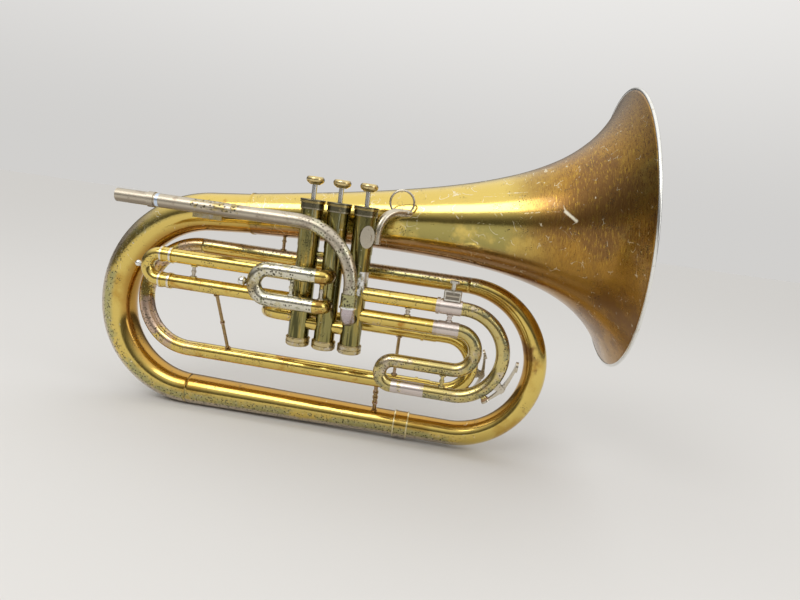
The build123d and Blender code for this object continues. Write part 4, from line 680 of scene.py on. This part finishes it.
def casing_brass():
    """Valve casings: dark olive brass with long golden streaks and a silvery patch."""
    tint = colours()
    metal = Metal("casing brass", tint.olive, 0.15, 0.1)
    metal.wear("clouds", 110.0, 0.46, (0.56, 0.37, 0.07), 0.18, stretch=(1.0, 1.0, 0.07))
    metal.wear("clouds", 170.0, 0.54, (0.085, 0.08, 0.03), 0.2, stretch=(1.0, 1.0, 0.08))
    metal.wear("clouds", 260.0, 0.34, (0.52, 0.52, 0.32), 0.24, stretch=(1.0, 1.0, 0.05))
    patch = metal.within(X=(0.019, 0.05), Z=(0.158, 0.180))
    metal.wear("clouds", 90.0, 0.72, tint.silver, 0.3, where=patch)
    metal.pits(760.0, 0.44)
    metal.wear("hairlines", 150.0, 0.34, tint.pale, 0.34, -0.4, stretch=(1.0, 1.0, 0.4))
    return metal.done()


def cap_brass():
    """Valve caps: brass with rubbed, silvery edges, the top caps dark above and below a golden line that is a
    painted highlight.
    """
    tint = colours()
    metal = Metal("cap brass", (0.52, 0.42, 0.21), 0.2, 0.1)
    metal.wear("clouds", 130.0, 0.44, tint.nickel, 0.26)
    metal.wear("clouds", 190.0, 0.34, (0.22, 0.18, 0.08), 0.3)
    foot, head = low("top_cap_1"), high("top_cap_3")
    top = metal.within(X=(foot.x, head.x), Z=(foot.z, head.z))
    metal.wear("clouds", 60.0, 0.96, (0.20, 0.18, 0.11), 0.22, where=top)
    # The first line is a painted highlight, golden, on the lower rim ring; the second is a pale line near the
    # cap's foot.
    for start, end, line in ((0.0060, 0.0073, (0.62, 0.48, 0.19)), (0.0006, 0.0011, (0.56, 0.50, 0.36))):
        metal.layer(metal.within(X=(foot.x, head.x), Z=(foot.z + start, foot.z + end)), line, 0.2)
    metal.pits(900.0, 0.46)
    return metal.done()


def brace_brass():
    """Brace posts: brown brass with rubbed, pinkish beads."""
    metal = Metal("brace brass", (0.40, 0.28, 0.13), 0.24)
    metal.wear("clouds", 170.0, 0.46, (0.54, 0.39, 0.31), 0.3)
    metal.pits(800.0, 0.50)
    return metal.done()


def aged_nickel():
    """Hand brace, finger ring and water keys: nickel worn to a warm grey."""
    metal = Metal("aged nickel", (0.60, 0.54, 0.43), 0.26)
    metal.wear("clouds", 110.0, 0.44, (0.42, 0.35, 0.25), 0.3)
    metal.wear("clouds", 210.0, 0.30, (0.70, 0.66, 0.58), 0.24)
    metal.wear("pits", 820.0, 0.42, (0.14, 0.11, 0.07), 0.45, -0.6, 0.2)
    return metal.done()


def box_nickel():
    """Lyre box: pale plate with a dark panel let into its front, and a pale line across it."""
    metal = Metal("box nickel", (0.70, 0.67, 0.60), 0.22)
    foot, head = low("lyre_box"), high("lyre_box")
    panel = metal.within(
        X=(foot.x + LYRE_FRAME, head.x - LYRE_FRAME),
        Y=(foot.y - LYRE_FRAME, foot.y + LYRE_FRAME / 3),
        Z=(foot.z + 0.0015, head.z - 0.0016),
    )
    metal.layer(panel, (0.24, 0.21, 0.17), 0.3, -1.0)
    line = metal.within(Z=(middle("lyre_box").z - 0.0004, middle("lyre_box").z + 0.0004))
    metal.layer(metal.both(panel, line), colours().nickel, 0.26)
    metal.wear("clouds", 150.0, 0.36, (0.50, 0.46, 0.38), 0.3)
    metal.wear("pits", 820.0, 0.42, (0.14, 0.11, 0.07), 0.45, -0.6, 0.2)
    return metal.done(0.0002)


def bright_nickel():
    """Rim wire: pale, bright plate."""
    metal = Metal("bright nickel", colours().silver, 0.22)
    metal.wear("clouds", 120.0, 0.34, (0.66, 0.61, 0.50), 0.3)
    metal.wear("pits", 900.0, 0.3, (0.30, 0.26, 0.20), 0.45, -0.6, 0.2)
    return metal.done()


def button_brass():
    """Finger buttons: pale brass with greyer clouds and dark pits."""
    tint = colours()
    metal = Metal("button brass", (0.66, 0.52, 0.25), 0.24)
    metal.wear("clouds", 210.0, 0.36, tint.nickel, 0.28)
    metal.wear("pits", 1000.0, 0.4, tint.tarnish, 0.45, -0.6, 0.2)
    return metal.done()


def ground_nickel():
    """Piston walls: finely ground nickel alloy."""
    metal = Metal("ground nickel", (0.70, 0.70, 0.67), 0.26)
    metal.wear("clouds", 160.0, 0.35, (0.56, 0.55, 0.52), 0.34)
    metal.wear("scratches", 260.0, 0.4, (0.82, 0.82, 0.80), 0.24, -0.4)
    return metal.done(0.00002)


def spring_steel():
    """Spring wire."""
    metal = Metal("spring steel", (0.50, 0.50, 0.50), 0.32)
    metal.wear("clouds", 200.0, 0.4, (0.38, 0.35, 0.32), 0.42)
    return metal.done()


def key_cork():
    """Cork of the water keys' pads, with no metal's shine."""
    metal = Metal("key cork", (0.42, 0.25, 0.13), 0.9)
    metal.wear("clouds", 420.0, 0.5, (0.55, 0.36, 0.20), 0.9, -1.0)
    metal.wear("pits", 1260.0, 0.6, (0.21, 0.12, 0.06), 0.9, -1.0)
    metal.metallic = 0.0
    return metal.done(0.00012)


made_finishes = {}


def finish(look):
    """Material that one of the functions above makes, made once."""
    if look not in made_finishes:
        made_finishes[look] = look()
    return made_finishes[look]


# ------------------------------------------------------------------ routes and tubes
class Route:
    """Path made of straight runs and bends, kept as corners with a bend radius each."""

    def __init__(self, start, heading):
        self.here = Vector(start)
        self.heading = Vector(heading).normalized()
        self.corners = [(self.here.copy(), 0.0)]

    def ahead(self, run):
        """Straight on for a length."""
        self.here = self.here + self.heading * run
        return self

    def turn(self, radius, degrees, axis):
        """Bend round an axis, right-handed, in steps of a quarter turn at most."""
        steps = max(1, math.ceil(abs(degrees) / 90.0 - 1e-6))
        part = math.radians(degrees) / steps
        for _ in range(steps):
            reach = radius * math.tan(abs(part) / 2)
            corner = self.here + self.heading * reach
            self.heading = Matrix.Rotation(part, 3, Vector(axis)) @ self.heading
            self.here = corner + self.heading * reach
            self.corners.append((corner, radius))
        return self

    def done(self):
        """All corners of the path, to its end here."""
        return [*self.corners, (self.here, 0.0)]


def shape_tree(name, lengths, factor):
    """Geometry node tree with inputs for lengths, a factor, the sides and the material."""
    tree = bpy.data.node_groups.new(name, "GeometryNodeTree")
    tree.is_modifier = True
    tree.interface.new_socket("Geometry", in_out="INPUT", socket_type="NodeSocketGeometry")
    for label in lengths:
        socket_in(tree, "NodeSocketFloat", label, 0.01, "DISTANCE")
    socket_in(tree, "NodeSocketFloat", factor, 1.0)
    socket_in(tree, "NodeSocketInt", "Sides", 32)
    socket_in(tree, "NodeSocketMaterial", "Material")
    tree.interface.new_socket("Geometry", in_out="OUTPUT", socket_type="NodeSocketGeometry")
    return tree, tree.nodes.new("NodeGroupInput").outputs


def dressed(tree, given, shape):
    """Ends a tree with real, smooth faces in the given material."""
    real = made(tree, "GeometryNodeRealizeInstances", {0: shape})
    smooth = made(tree, "GeometryNodeSetShadeSmooth", {0: real.outputs[0]})
    clad = made(tree, "GeometryNodeSetMaterial", {0: smooth.outputs[0], "Material": given["Material"]})
    made(tree, "NodeGroupOutput", {0: clad.outputs[0]})
    return tree


def tube_tree():
    """Geometry nodes that sweep a round section along a path with rounded corners."""
    tree, given = shape_tree("Bent tube", ("Start Radius", "End Radius", "Step"), "Taper Power")
    path = made(tree, "GeometryNodeMeshToCurve", {"Mesh": given["Geometry"]})
    bend = made(tree, "GeometryNodeInputNamedAttribute", {"Name": "bend"}, data_type="FLOAT")
    rounded = {"Curve": path.outputs[0], "Radius": bend.outputs["Attribute"], "Count": 48}
    fillet = made(tree, "GeometryNodeFilletCurve", rounded, mode="POLY")
    spaced = {"Curve": fillet.outputs[0], "Length": given["Step"]}
    even = made(tree, "GeometryNodeResampleCurve", spaced, mode="LENGTH")
    along = tree.nodes.new("GeometryNodeSplineParameter")
    late = math_node(tree, "POWER", along.outputs["Factor"], given["Taper Power"])
    taper = made(tree, "ShaderNodeMix", {0: late, 2: given["Start Radius"], 3: given["End Radius"]})
    ring = made(tree, "GeometryNodeCurvePrimitiveCircle", {"Radius": 1.0, "Resolution": given["Sides"]})
    swept = {"Curve": even.outputs[0], "Profile Curve": ring.outputs[0], "Scale": taper.outputs[0]}
    return dressed(tree, given, made(tree, "GeometryNodeCurveToMesh", swept).outputs[0])


def spring_tree():
    """Geometry nodes that wind a coil spring up from each point they are given."""
    tree, given = shape_tree("Coil spring", ("Height", "Coil Radius", "Wire Radius"), "Turns")
    wound = {
        "Resolution": 36,
        "Rotations": given["Turns"],
        "Start Radius": given["Coil Radius"],
        "End Radius": given["Coil Radius"],
        "Height": given["Height"],
    }
    coil = made(tree, "GeometryNodeCurveSpiral", wound)
    section = {"Radius": given["Wire Radius"], "Resolution": given["Sides"]}
    ring = made(tree, "GeometryNodeCurvePrimitiveCircle", section)
    drawn = {"Curve": coil.outputs[0], "Profile Curve": ring.outputs[0], "Fill Caps": True}
    wire = made(tree, "GeometryNodeCurveToMesh", drawn)
    stood = {"Points": given["Geometry"], "Instance": wire.outputs[0]}
    return dressed(tree, given, made(tree, "GeometryNodeInstanceOnPoints", stood).outputs[0])


TREES = {"Bent tube": tube_tree, "Coil spring": spring_tree}


def place(name, mesh):
    """Object with a mesh, in the scene and untransformed."""
    piece = bpy.data.objects.new(name, mesh)
    bpy.context.scene.collection.objects.link(piece)
    return piece


def face_outward(mesh):
    """Turns the faces of a closed or nearly closed shell outward."""
    volume = 0.0
    points = mesh.vertices
    for face in mesh.polygons:
        corners = [points[i].co for i in face.vertices]
        for second, third in zip(corners[1:], corners[2:]):
            volume += corners[0].dot(second.cross(third))
    if volume < 0:
        mesh.flip_normals()


def worked(name, mesh, kind, values):
    """Plain mesh that a node tree makes of another, with its inputs set by name."""
    source = place(name + " path", mesh)
    modifier = source.modifiers.new("nodes", "NODES")
    modifier.node_group = bpy.data.node_groups.get(kind) or TREES[kind]()
    for item in modifier.node_group.interface.items_tree:
        if item.item_type == "SOCKET" and item.in_out == "INPUT" and item.name in values:
            modifier[item.identifier] = values[item.name]
    graph = bpy.context.evaluated_depsgraph_get()
    shape = bpy.data.meshes.new_from_object(source.evaluated_get(graph), depsgraph=graph)
    shape.name = name
    bpy.data.objects.remove(source)
    face_outward(shape)
    return shape


def uneven(mesh, depth, waves, seed):
    """Moves a surface in and out a little, as hand-worked sheet wanders."""
    shift = Vector((7.3, 3.1, 5.7)) * seed
    moves = [v.normal * depth * noise.noise(v.co * waves + shift) for v in mesh.vertices]
    for vertex, move in zip(mesh.vertices, moves):
        vertex.co += move


def walled(piece, thickness):
    """Gives an open surface its wall, inward."""
    wall = piece.modifiers.new("wall", "SOLIDIFY")
    wall.thickness = thickness
    wall.offset = -1.0
    wall.use_rim = True
    return piece


def lathe(name, profile, origin, axis, sides, look, closed=True):
    """Sheet turned round an axis from (along, radius) points, or a ring where the profile is closed."""
    shape = bmesh.new()
    out = Vector(axis).normalized()
    across = out.orthogonal().normalized()
    up = out.cross(across)
    turns = [2 * math.pi * step / sides for step in range(sides)]
    rings = []
    for along, radius in profile:
        centre = Vector(origin) + out * along
        spots = [centre + (across * math.cos(turn) + up * math.sin(turn)) * radius for turn in turns]
        rings.append([shape.verts.new(spot) for spot in spots])
    pairs = list(zip(rings, rings[1:]))
    if closed:
        pairs.append((rings[-1], rings[0]))
    for first, second in pairs:
        for step in range(sides):
            after = (step + 1) % sides
            shape.faces.new((first[step], second[step], second[after], first[after]))
    mesh = bpy.data.meshes.new(name)
    shape.to_mesh(mesh)
    shape.free()
    for face in mesh.polygons:
        face.use_smooth = True
    mesh.materials.append(finish(look))
    face_outward(mesh)
    return mesh


# ------------------------------------------------------------------ the bell
RIM_STEP = 0.0012  # run of the first ring of faces behind the rim
STEP_GROWTH = 0.012  # how much longer the rings get, for each metre from the rim
LAST_STEP = 0.001  # shorter than this, the last ring joins the one before it
BELL_WAVES = ((1.0, 38.0, 2.0), (0.25, 130.0, 5.0))  # share of the unevenness, waves per metre, seed


def bell_frame():
    """Centre of the rim, the unit vector out of the mouth, and the rim's sheet radius."""
    sizes = bell_sizes()
    out = Vector((math.cos(sizes.tilt), 0, math.sin(sizes.tilt)))
    radius = high("bell_rim_wire").y - sizes.rim_wire
    return middle("bell_rim_wire"), out, radius


def bell_radius(behind):
    """Outer radius of the bell at a depth behind the rim."""
    sizes = bell_sizes()
    _, _, rim = bell_frame()
    end = (1 + sizes.run / sizes.flare_shift) ** -sizes.flare
    grown = (1 + behind / sizes.flare_shift) ** -sizes.flare
    return sizes.tail + (rim - sizes.tail) * (grown - end) / (1 - end)


def in_bell(behind, turn, depth):
    """Point behind the rim, turned up from the player's right side, a little way into the sheet."""
    centre, out, _ = bell_frame()
    side = Vector((0, -1, 0))
    across = side * math.cos(turn) + side.cross(out) * math.sin(turn)
    return centre - out * (behind - depth) + across * (bell_radius(behind) - depth)


class HORN_OT_bell(Operator):
    """Spins the bell and its rim wire"""

    bl_idname = "horn.bell"
    bl_label = "Bell"

    def execute(self, context):
        sizes = bell_sizes()
        centre, out, rim = bell_frame()
        depths = [0.0]
        while depths[-1] < sizes.run - LAST_STEP:
            depths.append(min(depths[-1] + RIM_STEP + STEP_GROWTH * depths[-1], sizes.run))
        depths[-1] = sizes.run
        profile = [(-behind, bell_radius(behind)) for behind in depths]
        mesh = lathe("bell_sheet", profile, centre, out, sizes.sides, bell_brass, closed=False)
        for part, waves, seed in BELL_WAVES:
            uneven(mesh, sizes.hammer * part, waves, seed)
        bell = walled(place("bell_sheet", mesh), sizes.wall)
        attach(bell, "horn")
        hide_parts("bell")
        turns = [2 * math.pi * step / sizes.wire_sides for step in range(sizes.wire_sides)]
        bead = [(sizes.rim_wire * math.cos(turn), rim + sizes.rim_wire * math.sin(turn)) for turn in turns]
        wire = place("rim_wire", lathe("rim_wire", bead, centre, out, sizes.sides, bright_nickel))
        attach(wire, "horn")
        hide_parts("bell_rim_wire")
        return {"FINISHED"}


# ------------------------------------------------------------------ the bows
BOW_RINGS = {  # run of each ring of faces along a tube, and faces round it
    "left_bow": (0.0025, 72),
    "bottom_tube": (0.003, 72),
    "right_bow": (0.002, 64),
    "upper_return_tube": (0.003, 48),
}
RIPPLE_WAVES = 90.0  # for each metre of the bows


def tube(node, route, radii, seed, power=1.0):
    """Hollow sheet tube along a route, in a solid's place."""
    sizes = tube_sizes()
    corners = route.done()
    path = bpy.data.meshes.new(node + " path")
    edges = [(first, first + 1) for first in range(len(corners) - 1)]
    path.from_pydata([tuple(point) for point, _ in corners], edges, [])
    bend = path.attributes.new("bend", "FLOAT", "POINT")
    bend.data.foreach_set("value", [radius for _, radius in corners])
    step, sides = BOW_RINGS[node]
    values = {
        "Start Radius": radii[0],
        "End Radius": radii[1],
        "Taper Power": power,
        "Step": step,
        "Sides": sides,
        "Material": finish(bow_brass),
    }
    mesh = worked(node + "_sheet", path, "Bent tube", values)
    uneven(mesh, sizes.ripple, RIPPLE_WAVES, seed)
    piece = walled(place(node + "_sheet", mesh), sizes.wall)
    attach(piece, "horn")
    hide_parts(node)


def left_route():
    """From the bell's tail round to the bottom tube."""
    bell, tubes = bell_sizes(), tube_sizes()
    centre, out, _ = bell_frame()
    turned = math.degrees(tubes.bow_upper_turn)
    left = 180.0 - math.degrees(bell.tilt) - turned
    route = Route(centre - out * bell.run, -out).ahead(tubes.tail_run)
    route.turn(tubes.bow_upper, turned, (0, -1, 0))
    floor = middle("bottom_tube").z
    lower = (route.here.z - floor) / (1 - math.cos(math.radians(left)))
    return route.turn(lower, left, (0, -1, 0))


class HORN_OT_bows(Operator):
    """Sweeps the large bows and the tubes between them"""

    bl_idname = "horn.bows"
    bl_label = "Bows"

    def execute(self, context):
        sizes, bell = tube_sizes(), bell_sizes()
        floor, top = middle("bottom_tube").z, middle("upper_return_tube").z
        foot, thin = high("bottom_tube").z / 2, high("right_bow").y
        slim = (high("upper_return_tube").z - low("upper_return_tube").z) / 2
        joint, bend = high("bottom_tube").x, high("upper_return_tube").x
        left = left_route()
        bottom = Route(left.here, (1, 0, 0)).ahead(joint - left.here.x)
        right = Route((joint, 0, floor), (1, 0, 0)).ahead(bend - joint)
        right.turn((top - floor) / 2, 180, (0, -1, 0))
        back = Route((bend, 0, top), (-1, 0, 0)).ahead(bend - low("upper_return_tube").x)
        tube("left_bow", left, (bell.tail, foot), 3.0)
        tube("bottom_tube", bottom, (foot, thin), 4.0)
        tube("right_bow", right, (thin, slim), 5.0, sizes.late_taper)
        tube("upper_return_tube", back, (slim, sizes.inner), 6.0)
        return {"FINISHED"}


class HORN_OT_springs(Operator):
    """Winds the three valve springs and fixes each to its valve"""

    bl_idname = "horn.springs"
    bl_label = "Valve springs"

    def execute(self, context):
        sizes = context.scene.horn_springs
        for valve in (1, 2, 3):
            node = f"valve_spring_{valve}"
            centre, foot, head = middle(node), low(node), high(node)
            point = bpy.data.meshes.new(node + " foot")
            point.from_pydata([(centre.x, centre.y, foot.z + sizes.wire)], [], [])
            values = {
                "Height": head.z - foot.z - 2 * sizes.wire,
                "Coil Radius": (head.y - foot.y) / 2 - sizes.wire,
                "Wire Radius": sizes.wire,
                "Turns": sizes.turns,
                "Sides": sizes.sides,
                "Material": finish(spring_steel),
            }
            piece = place(node + "_coil", worked(node + "_coil", point, "Coil spring", values))
            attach(piece, f"valve_{valve}")
            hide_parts(node)
            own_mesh(piece)
        return {"FINISHED"}


# ------------------------------------------------------------------ the solids that stay
NODE_FINISHES = {
    tube_brass: "inner_bow lower_inner_tube valve_exit_tube tuning_crook slide_1_crook valve_knuckle_1_2 "
    "valve_knuckle_2_3",
    leg_brass: "slide_1_legs slide_2_legs slide_3_legs",
    worn_brass: "slide_3_crook",
    worn_silver: "slide_2_crook",
    brace_brass: "slide_1_brace tuning_brace lower_brace valve_bell_brace bell_return_brace",
    bow_brass: "bottom_ferrule bell_tail_ferrule",
    lead_nickel: "leadpipe leadpipe_elbow leadpipe_ferrule mouthpiece_receiver",
    casing_brass: "valve_casing_1 valve_casing_2 valve_casing_3 casing_brace_1_2 casing_brace_2_3",
    cap_brass: "top_cap_1 top_cap_2 top_cap_3 bottom_cap_1 bottom_cap_2 bottom_cap_3 leadpipe_bracket",
    aged_nickel: "hand_brace finger_ring water_key_1_saddle water_key_2_saddle water_key_1_lever "
    "water_key_2_lever",
    box_nickel: "lyre_box lyre_screw",
    button_brass: "finger_button_1 finger_button_2 finger_button_3",
    ground_nickel: "piston_1 piston_2 piston_3",
    key_cork: "water_key_1_cork water_key_2_cork",
}


class HORN_OT_finishes(Operator):
    """Gives every solid that stays its worn metal or cork"""

    bl_idname = "horn.finishes"
    bl_label = "Finishes"

    def execute(self, context):
        for look, nodes in NODE_FINISHES.items():
            for node in nodes.split():
                for slot in bpy.data.objects[node].material_slots:
                    slot.material = finish(look)
        return {"FINISHED"}


# ------------------------------------------------------------------ stage
FLOOR_LIGHT = 0.793  # what the surroundings send onto a level floor, for each unit of brightness
HORIZON = (0.09, 0.085, 0.08)  # colour of the light from the sides
ZENITH = (1.0, 0.99, 0.97)  # colour of the light from overhead
WALL_LIFT = 1.35  # how much paler the wall is above than at the floor
FLOOR_REACH = 6.0
CAMERA_AT = (0.10884, -0.61421, 0.24763)
CAMERA_AIM = (0.05398, 0, 0.14916)
LAMP_AIM = (0, 0, 0.2)


def backdrop(context):
    """Light from overhead over a dim horizon, seen as a pale wall the floor fades into."""
    sizes = context.scene.horn_stage
    far_floor = tuple(channel * sizes.sky * FLOOR_LIGHT for channel in sizes.floor)
    pale = tuple(min(1.0, channel * WALL_LIFT) for channel in far_floor)
    world = bpy.data.worlds.new("studio")
    context.scene.world = world
    world.use_nodes = True
    tree = world.node_tree
    tree.nodes.clear()
    height = axis_of(tree, tree.nodes.new("ShaderNodeTexCoord").outputs["Generated"], "Z")
    light = mixed(tree, ramp(tree, height, 0.10, 0.80), HORIZON, ZENITH)
    wall = mixed(tree, ramp(tree, height, 0.02, 0.45), far_floor, pale)
    lit = made(tree, "ShaderNodeBackground", {"Color": light, "Strength": sizes.sky})
    seen = made(tree, "ShaderNodeBackground", {"Color": wall})
    ray = tree.nodes.new("ShaderNodeLightPath").outputs["Is Camera Ray"]
    pick = made(tree, "ShaderNodeMixShader", {0: ray, 1: lit.outputs[0], 2: seen.outputs[0]})
    made(tree, "ShaderNodeOutputWorld", {"Surface": pick.outputs[0]})


def aimed(at, aim, roll=0.0):
    """Place and turn of a lamp or camera that looks at a point."""
    turn = (Vector(aim) - Vector(at)).to_track_quat("-Z", "Y") @ Quaternion((0, 0, 1), roll)
    return Matrix.Translation(at) @ turn.to_matrix().to_4x4()


def staged(name, data, placing):
    """Lamp or camera in the scene, kept out of the horn."""
    item = bpy.data.objects.new(name, data)
    item.matrix_world = placing
    bpy.context.scene.collection.objects.link(item)
    return item


def lamp(name, at, size, power):
    """Soft rectangular lamp aimed at the horn."""
    data = bpy.data.lights.new(name, "AREA")
    data.shape = "RECTANGLE"
    data.size, data.size_y = size
    data.energy = power
    staged(name, data, aimed(at, LAMP_AIM))


def floor_sheet(tint):
    """Wide, matt floor under the horn."""
    ground = bpy.data.meshes.new("floor")
    corners = [(x * FLOOR_REACH, y * FLOOR_REACH, 0) for x, y in ((-1, -1), (1, -1), (1, 1), (-1, 1))]
    ground.from_pydata(corners, [], [(0, 1, 2, 3)])
    floor = bpy.data.materials.new("floor")
    floor.use_nodes = True
    shader = floor.node_tree.nodes["Principled BSDF"]
    for label, value in (("Base Color", tint), ("Roughness", 1.0), ("Specular IOR Level", 0.0)):
        plug(floor.node_tree, value, shader.inputs[label])
    ground.materials.append(floor)
    place("floor", ground)


class HORN_OT_stage(Operator):
    """Sets the camera, the floor, the lamps and the backdrop"""

    bl_idname = "horn.stage"
    bl_label = "Stage"

    def execute(self, context):
        scene = context.scene
        stage = scene.horn_stage
        backdrop(context)
        floor_sheet(stage.floor)
        lamp("key lamp", (-0.5, -1.1, 1.3), (1.0, 0.6), stage.key)
        lamp("side lamp", (1.3, -0.6, 0.7), (0.6, 0.9), stage.fill)
        data = bpy.data.cameras.new("camera")
        data.lens = stage.lens
        data.sensor_width = stage.sensor
        scene.camera = staged("camera", data, aimed(CAMERA_AT, CAMERA_AIM, stage.roll))
        scene.render.resolution_x = 800
        scene.render.resolution_y = 600
        scene.view_settings.view_transform = "Standard"
        return {"FINISHED"}


class HORN_PT_panel(Panel):
    """Sidebar panel with the steps and their sizes"""

    bl_label = "Horn"
    bl_idname = "HORN_PT_panel"
    bl_space_type = "VIEW_3D"
    bl_region_type = "UI"
    bl_category = "Horn"

    def draw(self, context):
        for step in STEPS:
            self.layout.operator(step.bl_idname)
        for group in GROUPS:
            holder = getattr(context.scene, group)
            column = self.layout.column()
            for name in holder.__annotations__:
                column.prop(holder, name)


STEPS = (HORN_OT_bell, HORN_OT_bows, HORN_OT_springs, HORN_OT_finishes, HORN_OT_stage)
GROUPS = {
    "horn_bell": HORN_PG_bell,
    "horn_tubes": HORN_PG_tubes,
    "horn_springs": HORN_PG_springs,
    "horn_finish": HORN_PG_finish,
    "horn_stage": HORN_PG_stage,
}


def register():
    """Adds the groups, steps and panel to Blender."""
    for name, group in GROUPS.items():
        bpy.utils.register_class(group)
        setattr(bpy.types.Scene, name, PointerProperty(type=group))
    for item in (*STEPS, HORN_PT_panel):
        bpy.utils.register_class(item)


def unregister():
    """Takes them out again."""
    for item in (HORN_PT_panel, *reversed(STEPS)):
        bpy.utils.unregister_class(item)
    for name, group in reversed(GROUPS.items()):
        delattr(bpy.types.Scene, name)
        bpy.utils.unregister_class(group)


def main():
    """Builds the whole scene in order."""
    register()
    bpy.ops.horn.bell()
    bpy.ops.horn.bows()
    bpy.ops.horn.springs()
    bpy.ops.horn.finishes()
    bpy.ops.horn.stage()


if __name__ == "__main__":
    main()
